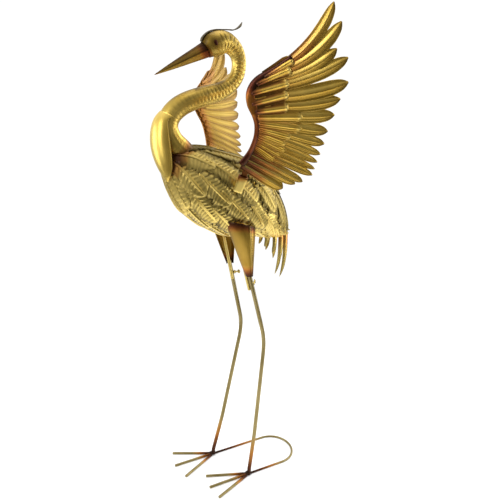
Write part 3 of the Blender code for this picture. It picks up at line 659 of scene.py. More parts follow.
def add_plate(bm, distance, angle, heading, tone, painted_sheen):
    """One plate with its root at a distance and angle on the shell. Tone darkens it, partly at random and
    partly as painted shade on the back, and sheen brightens it as a painted highlight and flattens its barbs
    a little.
    """
    rows = 2 * BARBS + 4
    reach = min(PLATE_LENGTH, BODY_LENGTH + PLATE_PAST_END - distance)
    along_seed, round_seed, tear_seed = TEAR_SEEDS
    tears = [
        noise.cell(Vector((distance * along_seed, angle * round_seed, tear * tear_seed)))
        for tear in range(2 * rows + 2)
    ]

    def place(u, v):
        row = round(v * rows)
        spread = plate_across(u)
        run = v + BARB_SLANT * abs(spread) * math.sin(math.pi * min(1.0, v * 1.1)) * (1 - v)
        barb = row % 2 == 1 and 1 < row < rows - 1
        torn = 1 - RAGGED * tears[row + (rows + 1 if u > 0 else 0)] * min(1.0, v * 3)
        aside = spread * table_value(PLATE_OUTLINE, run) * PLATE_HALF
        rise = PLATE_ROOT_RISE + (PLATE_TIP_RISE - PLATE_ROOT_RISE) * run + PLATE_LEAN * spread
        if abs(spread) < FLAT_SPINE:
            rise += SPINE_RISE * min(1.0, (1 - v) * 6)
        elif abs(spread) < FLAT_EDGE:
            rise -= BARB_RISE * (1 - 0.3 * painted_sheen) if barb else 0.0
        else:
            rise -= EDGE_DROP
            aside *= torn
        length = run * reach
        forward = length * math.cos(heading) - aside * math.sin(heading)
        around = length * math.sin(heading) + aside * math.cos(heading)
        back = distance + forward
        turned = angle + around / max(body_radius(back), LEAST_GIRTH_RADIUS)
        past = max(0.0, back - BODY_LENGTH)
        return body_place(back, turned, rise) + BODY_BACK * past

    def paint(u, v):
        row = round(v * rows)
        spread = abs(plate_across(u))
        barb = 1 < row < rows - 1 and FLAT_SPINE < spread < FLAT_EDGE
        # painted shade in the slits and painted shadow along the ragged edges, and a painted highlight on the
        # spine and on the barbs between the slits
        slit = SLIT_SHADE * (1 - 0.5 * painted_sheen) if barb and row % 2 == 1 else 0.0
        at_edge = v > 0.985 or (spread > FLAT_EDGE and v > 0.25)
        edge = EDGE_SHADE if at_edge else 0.0
        painted_highlight = SPINE_HIGHLIGHT if spread < FLAT_SPINE else BARB_HIGHLIGHT if barb and row % 2 == 0 else 0.0
        from_front = max(0.0, 1 - (distance + v * PLATE_LENGTH) / SCORCH_REACH)
        scorch = min(1.0, 1.8 * from_front * bell(math.cos(angle) - 0.6, 1.1))
        shade = max(slit, edge, tone, 0.4 * scorch)
        return SCORCH_HEAT * scorch, shade, max(painted_highlight * (1 - tone), painted_sheen * (1 - slit)) * (1 - scorch)

    bend_sheet(bm, PLATE_COLUMNS, rows, place, paint)


plates_bm = bmesh.new()
plate_count = 0
for row in range(PLATE_ROWS):
    start = PLATE_START + row * PLATE_STEP
    girth = math.tau * body_radius(min(start + PLATE_LENGTH * 0.6, BODY_LENGTH - 0.02))
    count = max(FEWEST_PLATES, round(girth / PLATE_PITCH))
    for column in range(count):
        shuffle = noise.cell_vector(Vector((row * 7.3, column * 3.1, 0.5)))
        angle = math.tau * (column + 0.5 * (row % 2)) / count + (shuffle.x - 0.5) * TURN_PLAY
        heading = PLATE_HEADING * math.sin(angle) + (shuffle.y - 0.5) * HEADING_PLAY
        slid = start + (shuffle.z - 0.5) * SLIDE_PLAY
        # painted shade on the plates of the back, and a painted highlight on those near the rump and the
        # breast
        on_top = max(0.0, math.cos(angle)) ** 2
        near_rump = RUMP_PAINTED_SHEEN * max(0.0, start / BODY_LENGTH - 0.40)
        near_front = max(0.0, FRONT_PAINTED_SHEEN - 0.3 * row)
        painted_sheen = min(MOST_PAINTED_SHEEN, near_rump + 0.20 * shuffle.x + near_front) * (1 - 0.85 * on_top)
        tone = LEAST_TONE + 0.22 * shuffle.y + TOP_PAINTED_SHADE * on_top
        add_plate(plates_bm, slid, angle, heading, tone, painted_sheen)
        plate_count += 1
finish_piece("leaf_plates", plates_bm, champagne, ["body"], sheet=0.0008, crease=28)
print("plates:", plate_count)

# %% [markdown]
# ## The neck and head
#
# The neck is a tube formed in two bends, with the head swaged out of its end. A ring drawn along
# a curve is the natural way to make it. The maker punched rows of small dents down both flanks
# to suggest feathers, and left the seam where the two halves of the pressing meet. Each point of
# the tube knows how far round and how far along it is, so the dents are moved in the mesh.

# %% Neck measures
NECK_KNOTS = (
    (-0.0340, 0.9455, 0.0160),
    (-0.0205, 0.9540, 0.0228),
    (0.0020, 0.9595, 0.0212),
    (0.0185, 0.9550, 0.0172),
    (0.0310, 0.9420, 0.0150),
    (0.0360, 0.9230, 0.0140),
    (0.0320, 0.9020, 0.0142),
    (0.0190, 0.8850, 0.0148),
    (-0.0040, 0.8720, 0.0168),
    (-0.0350, 0.8635, 0.0186),
    (-0.0660, 0.8545, 0.0194),
    (-0.0905, 0.8430, 0.0198),
    (-0.1080, 0.8260, 0.0198),
    (-0.1130, 0.8050, 0.0195),
    (-0.1050, 0.7830, 0.0208),
    (-0.0890, 0.7640, 0.0230),
    (-0.0680, 0.7430, 0.0225),
)
NECK_STEPS = 28
NECK_SIDES = 56
HEAD_FLATNESS = 0.80
NECK_FLATNESS = 0.95
HEAD_KNOTS = 4
DENT_PITCH = 0.0078
DENT_DEPTH = 0.0012
DENT_LANE = 0.42
DENT_WANDER = 1.5
SEAM_DEPTH = 0.0006
DENTS_BEGIN = (0.022, 0.032)
DENTS_FADE = (0.17, 0.22)
SEAM_BEGINS = (0.05, 0.07)
FACE_ENDS = (0.0, 0.05)
DARKENING_FADE = (0.25, 0.29)
NECK_WELD = (0.040, 0.024)

neck_line = smooth_path(NECK_KNOTS, NECK_STEPS)
neck_frames = frames_along([(x, 0, z) for x, z, _ in neck_line], ACROSS)


def neck_station(index):
    """Centre, across, outward, half width and half height of the tube at a step of its path."""
    point, _, across, up = neck_frames[index]
    radius = neck_line[index][2]
    share = min(1.0, index / NECK_STEPS / HEAD_KNOTS)
    return point, across, up, radius * (HEAD_FLATNESS + (NECK_FLATNESS - HEAD_FLATNESS) * share), radius


EYE_STEP = NECK_STEPS
EYE_RAISE = 0.13
EYE_SIZE = (0.0034, 0.0052)
EYE_TINT_REACH = 0.013
UPPER_PAINTED_SHADE = 0.80
eye_centre, _, eye_up, _, eye_half_up = neck_station(EYE_STEP)
eye_spot = eye_centre + skyward(eye_up) * eye_half_up * EYE_RAISE

neck_bm = bmesh.new()
neck_rings = draw_tube(neck_bm, [neck_station(i) for i in range(len(neck_line))], NECK_SIDES)
heat_layer, shade_layer, highlight_layer = lacquer_layers(neck_bm)
travelled = 0.0
neck_length = sum((a[0] - b[0]).length for a, b in zip(neck_frames, neck_frames[1:]))
for index, ring in enumerate(neck_rings):
    centre, across, up, half_across, half_up = neck_station(index)
    if index:
        travelled += (centre - neck_frames[index - 1][0]).length
    for vert in ring:
        spoke = vert.co - centre
        turn = math.atan2(spoke.dot(up) / half_up, spoke.dot(across) / half_across)
        flank = abs(math.remainder(turn, math.pi))
        shift = 0.5 if math.sin(turn) > 0 else 0.0
        wander = DENT_WANDER * noise.noise(vert.co * 60)
        wave = math.sin(math.tau * (travelled / DENT_PITCH + shift) + wander)
        dent = max(0.0, wave) * bell(flank - DENT_LANE, DENT_LANE * 0.95)
        fade = ramp(travelled, *DENTS_BEGIN) * (1 - 0.80 * ramp(travelled, *DENTS_FADE))
        seam = bell(flank, 0.10) * ramp(travelled, *SEAM_BEGINS)
        vert.co -= spoke.normalized() * (DENT_DEPTH * dent * fade + SEAM_DEPTH * seam)
        weld = ramp(neck_length - travelled, *NECK_WELD)
        past_face = ramp(travelled, *FACE_ENDS)
        facing_sky = max(0.0, spoke.normalized().z)
        eye_tint = bell((vert.co - eye_spot).xz.length, EYE_TINT_REACH)
        # darker bands along the flanks, real blotches, the eye's tint and a darker face, with painted shade
        # on upward faces
        groove = 0.45 * bell(flank - 0.25, 0.35) * past_face + UPPER_PAINTED_SHADE * facing_sky + 0.45 * eye_tint
        groove += 0.75 * max(0.0, noise.noise(vert.co * 55)) + 0.45 * ramp(travelled, 0.030, 0.0)
        groove *= 1 - 0.65 * ramp(travelled, *DARKENING_FADE)
        vert[heat_layer] = max(0.86 * weld, 0.30 * eye_tint, 0.60 * ramp(travelled, 0.005, 0.0))
        # painted shade in the dents and the seam, and the real brown near the weld
        vert[shade_layer] = min(1.0, 0.55 * dent * fade + 0.4 * seam + groove + 0.4 * weld)
        # painted highlight down the flanks, kept off upward faces and the weld
        painted_highlight = 0.60 * bell(flank - math.pi / 2, 0.8) * fade + 0.25 * past_face
        vert[highlight_layer] = painted_highlight * (1 - weld) * (1 - facing_sky)
finish_piece("formed_neck_and_head", neck_bm, gold, ["head_and_neck"], crease=60)
print("neck length", round(neck_length, 3))

# %% [markdown]
# ## The eyes, the beak and the crest
#
# Each eye is an oval cut through the sheet that shows dark. The beak is a long folded spike that
# is welded to the face. Its lower half is lighter, and the mouth is a pressed line along each
# side. The crest is a narrow strip that follows the crown and curls up at the end.

# %% Eyes
EYE_BULGE = ((-0.0020, 0.90), (0.0002, 1.0), (0.0006, 0.80), (0.0008, 0.40))
eye_long, eye_high = EYE_SIZE
for side, sign in (("left", -1), ("right", 1)):
    centre, across, up, half_across, half_up = neck_station(EYE_STEP)
    heading = neck_frames[EYE_STEP][1]
    lift = math.asin(EYE_RAISE)
    sideways = across * sign * math.cos(lift)
    upwards = skyward(up) * math.sin(lift)
    place = centre + sideways * half_across + upwards * half_up
    outward = (sideways + upwards).normalized()
    stations = [
        (place + outward * out, heading, outward.cross(heading), eye_long * size, eye_high * size)
        for out, size in EYE_BULGE
    ]
    eye_bm = bmesh.new()
    draw_tube(eye_bm, stations, 20)
    paint_points(eye_bm, eye_bm.verts, lambda co: (0.88, 0.0, 0.0))
    finish_piece(f"eye_{side}", eye_bm, copper)

# %% Beak
BEAK_TIP = Vector((-0.136, 0.0, 0.899))
BEAK_DEPTH = 0.030
BEAK_WIDTH = 0.020
BEAK_SIZES = ((0.0, 1.0), (0.22, 0.80), (0.45, 0.60), (0.70, 0.37), (0.90, 0.15), (0.97, 0.07), (1.0, 0.012))
BEAK_SQUARENESS = 0.15
MOUTH_SHARE = 0.10
BEAK_HEAT = ((0.0, 1.0), (0.07, 0.88), (0.15, 0.22), (0.35, 0.04), (0.85, 0.0), (1.0, 0.45))
beak_start, _, beak_across, beak_up = neck_frames[0]
beak_reach = BEAK_TIP - beak_start
beak_top = skyward(beak_up)
beak_bm = bmesh.new()
beak_path = smooth_path(BEAK_SIZES, 4)
beak_rings = draw_tube(
    beak_bm,
    [
        (beak_start + beak_reach * share, beak_across, beak_top, BEAK_WIDTH / 2 * size, BEAK_DEPTH / 2 * size)
        for share, size in beak_path
    ],
    32,
)
for (share, size), ring in zip(beak_path, beak_rings):
    centre = beak_start + beak_reach * share
    for vert in ring:
        spoke = vert.co - centre
        turn = math.atan2(spoke.dot(beak_top) / BEAK_DEPTH, spoke.dot(beak_across) / BEAK_WIDTH)
        corner = abs(math.remainder(turn, math.pi / 2)) / (math.pi / 4)
        squared = 1 - BEAK_SQUARENESS * corner
        mouth = bell(math.remainder(turn, math.pi), 0.16) * min(1.0, max(0.0, 1 - share) * 6)
        vert.co = centre + spoke * squared * (1 - MOUTH_SHARE * mouth)


def beak_paint(co):
    """Brown at the face and the tip, painted shade along the mouth line, and an upper half darker than the
    lower.
    """
    share = (co - beak_start).dot(beak_reach) / beak_reach.length_squared
    middle = beak_start + beak_reach * share
    height = (co - middle).dot(beak_top) / (BEAK_DEPTH / 2) / table_value(BEAK_SIZES, share)
    # painted shade along the pressed mouth line
    mouth = 0.60 * bell(height, 0.12)
    upper = 0.42 * min(1.0, max(0.0, height + 0.1) * 3) + 0.45 * max(0.0, height) ** 2
    return table_value(BEAK_HEAT, share) * (0.8 + 0.2 * height), min(1.0, mouth + upper + 0.18), 0.0


paint_points(beak_bm, beak_bm.verts, beak_paint)
finish_piece("folded_beak", beak_bm, copper, ["beak"], crease=24)

# %% Crest plume
SHEET = 0.0015
GAP = 0.0003
CREST_WIDTH = 0.0090
CREST_CURL = ((0.013, 0.0006), (0.023, 0.0008), (0.0340, 0.0065), (0.0410, 0.0158))
CREST_ON_HEAD = 5
CREST_ARCH = 0.0006
crest_knots = []
for half_knot in range(CREST_ON_HEAD):
    step = half_knot * NECK_STEPS // 2
    point, _, _, up = neck_frames[step]
    crest_knots.append(tuple(point + skyward(up) * (neck_line[step][2] + GAP + SHEET / 2)))
crest_end = Vector(crest_knots[-1])
crest_knots += [tuple(crest_end + Vector((back, 0, rise))) for back, rise in CREST_CURL]
crest_path = smooth_path(crest_knots, 6)
crest_frames = frames_along(crest_path, ACROSS)


def crest_place(u, v):
    """The strip is widest on the crown and again before its end, and a little arched across."""
    before, after, part = between_steps(crest_frames, v)
    _, _, across, up = before
    swell = 0.80 + 0.50 * bell(v - 0.20, 0.30) + 0.70 * bell(v - 0.88, 0.16)
    half = CREST_WIDTH / 2 * swell * (1 - 0.9 * v**18)
    return before[0].lerp(after[0], part) + across * half * u + up * CREST_ARCH * (1 - u * u)


crest_bm = bmesh.new()
bend_sheet(crest_bm, 6, 48, crest_place, lambda u, v: (0.0, 0.3 * abs(u), 0.0))
finish_piece("curled_crest", crest_bm, brown, ["crest_plume"], sheet=0.0019)

# %% [markdown]
# ## The breast plate
#
# A smooth trough of sheet hangs in front of the neck and ends in a point on the chest. It is one
# bent grid: each row is half an ellipse. The top row is fitted to the neck and the rows below it
# to their own measures, and the point swings a little to the left, as the photograph shows it.

# %% Breast plate
BREAST_STATIONS = (
    (-0.1405, 0.8200, 0.0225, 0.0215),
    (-0.1465, 0.8000, 0.0270, 0.0260),
    (-0.1480, 0.7780, 0.0290, 0.0285),
    (-0.1455, 0.7570, 0.0285, 0.0270),
    (-0.1400, 0.7370, 0.0240, 0.0220),
    (-0.1330, 0.7200, 0.0150, 0.0120),
    (-0.1270, 0.7085, 0.0040, 0.0025),
)
BREAST_KNOT = 12
BREAST_END_SWING = -0.021
neck_point, _, _, neck_up = neck_frames[BREAST_KNOT * NECK_STEPS]
neck_front = neck_up if neck_up.x < 0 else -neck_up
neck_reach = NECK_KNOTS[BREAST_KNOT][2] + GAP + SHEET
breast_rows = [(*neck_point, *neck_front, neck_reach, neck_reach)]
breast_high = BREAST_STATIONS[0][1]
breast_low = BREAST_STATIONS[-1][1]
for front_x, height, half_width, depth in BREAST_STATIONS:
    swing = BREAST_END_SWING * ((breast_high - height) / (breast_high - breast_low)) ** 3
    breast_rows.append((front_x + depth, swing, height, -1.0, 0.0, 0.0, half_width, depth))
breast_path = smooth_path(breast_rows, 6)


def breast_place(u, v):
    before, after, part = between_steps(breast_path, v)
    *places, half_width, depth = (a + (b - a) * part for a, b in zip(before, after))
    centre = Vector(places[:3])
    front = Vector(places[3:]).normalized()
    angle = math.pi / 2 * u
    sideways = ACROSS * (half_width - SHEET / 2) * math.sin(angle)
    return centre + sideways + front * (depth - SHEET / 2) * math.cos(angle)


# painted shadow along both edges of the trough, and a painted highlight down its middle
def breast_paint(u, v):
    return 0.0, 0.95 * ramp(abs(u), 0.88, 1.0), 0.80 * bell(u, 0.8)


breast_bm = bmesh.new()
bend_sheet(breast_bm, 28, 60, breast_place, breast_paint)
finish_piece("smooth_breast_trough", breast_bm, gold, ["breast_plate"], sheet=0.0013)

# %% [markdown]
# ## The wings
#
# Each wing is one sheet that was pressed in a die: a half-round band along the leading edge,
# coverts with scalloped ends, and long feathers fluted down the middle. The sheet was flame
# coloured along the band. A separate bent grid for each feather gives crisp flutes and true
# notches between the tips. All of them follow one wing surface, which leans outwards and bows.
# Tips are given as an angle and a reach from the wrist, and starts as a share of the band.

# %% Wing measures
WRIST = Vector((-0.006, -0.113, 0.864))
WING_FLARE = math.radians(30)
WING_LEAN = math.radians(15.8)
WING_BOW = (
    (-0.150, 0.0000),
    (-0.105, 0.0010),
    (-0.070, 0.0080),
    (-0.030, 0.0120),
    (0.000, 0.0070),
    (0.030, -0.0060),
    (0.070, -0.0110),
    (0.150, -0.0030),
)
WING_BOW_REACH = 0.130
WING_BOW_FADE = 1.5
RIGHT_WING_DROP = 0.0060
WING_BAND = (
    (-0.0090, -0.1280),
    (0.0085, -0.1040),
    (0.0195, -0.0750),
    (0.0215, -0.0500),
    (0.0165, -0.0300),
    (0.0080, -0.0120),
    (0.0070, 0.0070),
    (0.0190, 0.0235),
    (0.0452, 0.0388),
    (0.0745, 0.0595),
)
BAND_OUTER = 0.0085
BAND_HALVES = (
    (0.0, 0.0062),
    (0.15, 0.0046),
    (0.40, 0.0046),
    (0.52, 0.0080),
    (0.62, 0.0080),
    (0.75, 0.0062),
    (1.0, 0.0055),
)
BAND_RISE = 0.0032
BAND_BASE = 0.0010
FEATHER_TIPS = (
    (47.0, 0.1963),
    (37.8, 0.1882),
    (27.2, 0.1635),
    (20.2, 0.1760),
    (7.1, 0.1715),
    (-2.5, 0.1600),
    (-12.8, 0.1565),
    (-24.1, 0.1575),
    (-32.1, 0.1650),
    (-38.7, 0.1720),
    (-43.4, 0.1790),
    (-47.2, 0.1860),
    (-50.4, 0.1930),
    (-57.0, 0.1940),
    (-61.2, 0.1910),
    (-68.7, 0.1900),
)
FEATHER_FIRST = 0.80
FEATHER_FILL = 0.45
ROOT_FILL = 0.14
LEADING_FILL = 0.80
NEAR_SHARE = 0.65
LEADING_ROOT = (0.0, 0.36)
FEATHER_OUTLINE = (
    (0.0, 0.62),
    (0.25, 0.74),
    (0.50, 0.84),
    (0.68, 0.87),
    (0.80, 0.82),
    (0.89, 0.67),
    (0.95, 0.47),
    (1.0, 0.08),
)
FEATHER_SAG = 0.0160
FEATHER_BEND_AT = 0.58
FEATHER_TILT = 0.0006
FEATHER_COLUMNS = 20
PRIMARY_ROWS = 30
COVERT_ROWS = 26
COVERT_TIPS = (
    (37.5, 0.0960),
    (30.5, 0.0860),
    (16.0, 0.0750),
    (1.6, 0.0720),
    (-15.0, 0.0755),
    (-20.9, 0.1050),
    (-30.9, 0.1140),
    (-43.1, 0.1090),
    (-51.2, 0.1130),
    (-55.0, 0.1230),
    (-60.5, 0.1250),
    (-66.9, 0.1290),
)
COVERT_STARTS = (0.765, 0.690, 0.615, 0.540, 0.480, 0.435, 0.385, 0.340, 0.300, 0.265, 0.230, 0.190)
COVERT_HALF = (0.0118, 0.0090)
COVERT_LIP = 0.0016
SECOND_NARROWER = 0.86
SECOND_BOW = 1.12
COVERT_OUTLINE = ((0.0, 0.84), (0.35, 0.90), (0.70, 1.0), (0.86, 0.86), (0.95, 0.52), (1.0, 0.06))
COVERT_LIFT = 0.0022
FLUTE_RISE = 0.0034
PRIMARY_PRESS = ((0.0, 1.0), (0.27, 1.0), (0.42, 0.55), (0.75, 0.50), (1.0, 0.75))
COVERT_PRESS = ((0.0, 1.15), (0.36, 1.1), (0.48, 0.40), (0.75, 0.30), (1.0, 0.25))
FINE_RISE = 0.00042
FINE_LINES = 5
FINE_SHIFT = 0.1
WING_SHEET = 0.0011

wing_chord = Vector((math.cos(WING_FLARE), -math.sin(WING_FLARE), 0))
wing_outward = Vector((-math.sin(WING_FLARE), -math.cos(WING_FLARE), 0))
wing_rise = UPRIGHT * math.cos(WING_LEAN) + wing_outward * math.sin(WING_LEAN)
wing_normal = wing_chord.cross(wing_rise)
band_path = smooth_path(WING_BAND, 1)


def wing_place(back, up, out=0.0):
    """A place in the wing, measured from the wrist. Away from the bird counts as out."""
    fade = ramp(back, WING_BOW_REACH, 0.0) ** WING_BOW_FADE
    bow = table_value(WING_BOW, up)
    return WRIST + wing_chord * back + wing_rise * up + wing_normal * (out + fade * bow)


def tip_place(angle, reach):
    """A tip in the wing's plane, from its angle and its reach from the wrist."""
    return Vector((reach * math.cos(math.radians(angle)), reach * math.sin(math.radians(angle))))


def flute(u, depth):
    """The pressed section of a feather: a ridge down the middle and hollows at its sides."""
    return depth * (bell(u, 0.55) - 0.15)


def fine_line(u):
    """The fine lines pressed side by side along a feather: 1 on a line and -1 between two."""
    return math.cos(math.pi * FINE_LINES * (u + FINE_SHIFT))


def add_feather(bm, start, tip, half, outline, depth, rows, paint, sag=0.0, lift=0.0, lip=0.0):
    """One feather from the band to its tip. Lift raises it off the wing and lip turns its end up."""
    aside = Vector((tip.y - start.y, start.x - tip.x)).normalized()
    middle = start.lerp(tip, FEATHER_BEND_AT) + aside * sag * 2

    def place(u, v):
        here = start * (1 - v) ** 2 + middle * 2 * v * (1 - v) + tip * v**2
        heading = ((middle - start) * (1 - v) + (tip - middle) * v).normalized()
        across = Vector((-heading.y, heading.x))
        width = table_value(outline, v)
        spot = here + across * half * width * u
        fine = FINE_RISE * fine_line(u) * (1.3 - depth) * min(1.0, (1 - v) * 6)
        press = min(1.0, width * 1.1) * FLUTE_RISE * flute(u, depth) + fine
        return wing_place(spot.x, spot.y, lift + press + lip * bell(v - 0.92, 0.08) - FEATHER_TILT * u)

    bend_sheet(bm, FEATHER_COLUMNS, rows, place, paint)


# %% The left wing
PRIMARY_ROOT_HEAT = ((0.0, 0.55), (0.3, 0.20), (0.75, 0.25), (0.85, 0.75), (1.0, 0.95))
LOW_FEATHERS = 0.8


def primary_paint(order):
    """A painted highlight on the ridge of the upper half and on the rim, painted shade in the hollows and
    between the fine lines, a darker lower half and tip, and a copper leading feather.
    """

    def paint(u, v):
        hollow = 0.60 * ramp(abs(u), 0.55, 1.0) * (1 - 0.5 * v)
        lower = 0.42 * min(1.0, max(0.0, 0.1 - u) * 2.2) * min(1.0, v * 1.5)
        tip = 0.40 * ramp(v, 0.84, 1.0)
        fine = 0.22 * max(0.0, -fine_line(u))
        ridge = 0.60 * bell(u - 0.30, 0.42) * (1 - 0.55 * order) * min(1.0, v * 1.8) * (1 - v**6)
        if order > LOW_FEATHERS:
            ridge = 0.85 * bell(u - 0.10, 0.16) * (1 - v**4)
            lower = 0.30
        leading = 0.50 * max(0.0, 1 - order * 12) * (0.4 + 0.6 * max(0.0, u)) * (1 - 0.8 * v)
        heat = leading + table_value(PRIMARY_ROOT_HEAT, order) * ramp(v, 0.68, 0.0)
        rim = 0.5 * ramp(abs(u), 0.88, 1.0) * v
        return heat, min(1.0, max(hollow, lower) + tip + fine * (0.4 + order)), max(ridge, rim)

    return paint


COVERT_HEAT = ((0.0, 1.0), (0.36, 0.95), (0.46, 0.34), (0.70, 0.50), (1.0, 0.62))
COVERT_EDGE = ((0.0, 0.70), (0.10, 1.0), (0.36, 1.0), (0.46, 0.80), (0.65, 0.45), (0.80, 0.10), (1.0, 0.0))


def covert_paint(order):
    """Maroon roots and hollows that clear to gold, painted shade in the hollows and between the fine lines,
    and a painted highlight round the scalloped end and on the ridge.
    """
    strength = table_value(COVERT_HEAT, order)
    bright = table_value(COVERT_EDGE, order)

    root_reach = 0.30 + 0.35 * ramp(order, 0.12, 0.0)
    groove_from = 0.44 - 0.22 * strength
    ridge_highlight = 0.28 * (0.4 + 0.6 * strength) * (1.0 if order < 0.6 else 0.2)

    def paint(u, v):
        root = ramp(v, root_reach, 0.0) ** 0.9
        groove = ramp(abs(u + 0.08), groove_from, groove_from + 0.20)
        heat = strength * max(0.95 * root, 0.72 * groove * (1 - 0.75 * v))
        hollow = 0.95 * groove * (1 - 0.40 * v) * strength
        fine = 0.35 * max(0.0, -fine_line(u)) * (1 - strength)
        line = bright * bell(v - 0.93, 0.085) * (0.55 + 0.45 * bell(u, 0.7))
        ridge = ridge_highlight * bell(u, 0.30) * min(1.0, v * 2)
        return min(1.0, heat), min(1.0, max(hollow, fine) * (1 - 0.8 * line)), max(line, ridge)

    return paint


BAND_HEAT = ((0.0, 0.84), (0.18, 0.74), (0.38, 0.56), (0.50, 0.40), (0.62, 0.42), (0.70, 0.84), (1.0, 0.96))


def add_band(bm):
    """The half-round band, bent along the leading edge and flame coloured."""
    frames = []
    path = smooth_path(WING_BAND, 6)
    for i, point in enumerate(path):
        before, after = Vector(path[max(i - 1, 0)]), Vector(path[min(i + 1, len(path) - 1)])
        heading = (after - before).normalized()
        frames.append((Vector(point), Vector((-heading.y, heading.x))))

    def place(u, v):
        before, after, part = between_steps(frames, v)
        point, across = (a.lerp(b, part) for a, b in zip(before, after))
        outer = BAND_OUTER * (0.78 + 0.22 * math.sin(math.pi * v))
        here = point + across * (outer - table_value(BAND_HALVES, v) * (1 - u))
        return wing_place(here.x, here.y, BAND_BASE + BAND_RISE * math.sqrt(max(0.0, 1 - u * u)))

    def paint(u, v):
        heat = table_value(BAND_HEAT, v) + 0.20 * max(0.0, -u)
        return min(1.0, heat), 0.3 * max(0.0, -u), 0.0

    bend_sheet(bm, 12, 80, place, paint)


TAB_WIDTH = 0.0110
TAB_THICK = 0.0018
TAB_FROM = Vector((-0.0010, -0.1390))
TAB_TO = Vector((-0.0168, -0.1810))
TAB_WAY = (TAB_TO - TAB_FROM).normalized()


def bar_in_wing(bm, start, end, width, thick, closed=True):
    """A flat bar in the wing's plane between two points of it."""
    aside = Vector((-TAB_WAY.y, TAB_WAY.x)) * width / 2
    stations = []
    for spot in (start, end):
        centre = wing_place(*spot)
        stations.append((centre, wing_place(*(spot + aside)) - centre, wing_normal * thick / 2))
    return draw_bar(bm, stations, closed)


def add_tab(bm):
    rings = bar_in_wing(bm, TAB_FROM - TAB_WAY * TAB_WIDTH, TAB_TO, TAB_WIDTH, TAB_THICK - WING_SHEET)
    paint_points(bm, [vert for ring in rings for vert in ring], lambda co: (0.70, 0.5, 0.0))


def cut_wing_sheet():
    """The left wing's whole sheet, and the tab that drops into its bracket."""
    bm = bmesh.new()
    tips = [tip_place(angle, reach) for angle, reach in FEATHER_TIPS]
    for index, tip in enumerate(tips):
        share = index / (len(tips) - 1)
        start = along(band_path, FEATHER_FIRST * (1 - share))
        spans = [(tip - other).length for other in tips[max(index - 1, 0) : index + 2] if other != tip]
        apart = min(spans) * NEAR_SHARE + max(spans) * (1 - NEAR_SHARE)
        half = (FEATHER_FILL + ROOT_FILL * share) * (apart if index else LEADING_FILL * apart)
        sag = FEATHER_SAG * max(0.0, 1 - share * 1.6)
        depth = table_value(PRIMARY_PRESS, share)
        if index == 1:
            half *= SECOND_NARROWER
            sag *= SECOND_BOW
        outline = FEATHER_OUTLINE if index else (LEADING_ROOT, *FEATHER_OUTLINE[1:])
        paint = primary_paint(share)
        add_feather(bm, start, tip, half, outline, depth, PRIMARY_ROWS, paint, sag=sag)
    for index, ((angle, reach), start_share) in enumerate(zip(COVERT_TIPS, COVERT_STARTS)):
        share = index / (len(COVERT_TIPS) - 1)
        start = along(band_path, start_share)
        tip = tip_place(angle, reach)
        half = COVERT_HALF[0] + (COVERT_HALF[1] - COVERT_HALF[0]) * share
        depth = table_value(COVERT_PRESS, share)
        paint = covert_paint(share)
        lip = COVERT_LIP * table_value(COVERT_EDGE, share)
        add_feather(
            bm, start, tip, half, COVERT_OUTLINE, depth, COVERT_ROWS, paint, lift=COVERT_LIFT, lip=lip
        )
    add_band(bm)
    add_tab(bm)
    return bm


left_wing_bm = cut_wing_sheet()
right_wing_bm = left_wing_bm.copy()
finish_piece(
    "pressed_wing_left", left_wing_bm, wing_gold, ["wing_left"], sheet=WING_SHEET, crease=40
)

# %% [markdown]
# ## The right wing
#
# It is the same pressing turned over, set a few millimetres lower. The photograph shows its
# inner face, which is a plainer gold with a copper edge, so its numbers for the lacquer are
# worked out again from the distance to the band.

# %% The right wing
COPPER_EDGE = (0.0286, 0.0066)
ABOVE_NECK = (0.85, 0.88)
bmesh.ops.scale(right_wing_bm, vec=(1, -1, 1), verts=right_wing_bm.verts)
bmesh.ops.translate(right_wing_bm, vec=(0, 0, -RIGHT_WING_DROP), verts=right_wing_bm.verts)
right_heat, right_shade, _ = lacquer_layers(right_wing_bm)
right_edge = [wing_place(*point) for point in smooth_path(WING_BAND, 3)]
right_edge = [Vector((point.x, -point.y, point.z - RIGHT_WING_DROP)) for point in right_edge]
for vert in right_wing_bm.verts:
    from_edge = min((vert.co - point).length for point in right_edge)
    copper_edge = 0.34 * ramp(from_edge, *COPPER_EDGE)
    above_neck = ramp(vert.co.z, *ABOVE_NECK)
    vert[right_heat] = max(0.30 * vert[right_shade], copper_edge, 0.17 * above_neck)
    # painted shade over the whole far wing, lighter at its copper edge
    vert[right_shade] = (0.5 * vert[right_shade] + 0.46) * (1 - copper_edge)
finish_piece(
    "pressed_wing_right", right_wing_bm, wing_gold, ["wing_right"], sheet=WING_SHEET, crease=40
)

# %% [markdown]
# ## The wing brackets
#
# Each wing lifts out for packing: its tab drops into a flat socket of folded strip that was
# welded to the flank. The socket is a rectangle drawn out along the tab and thickened.

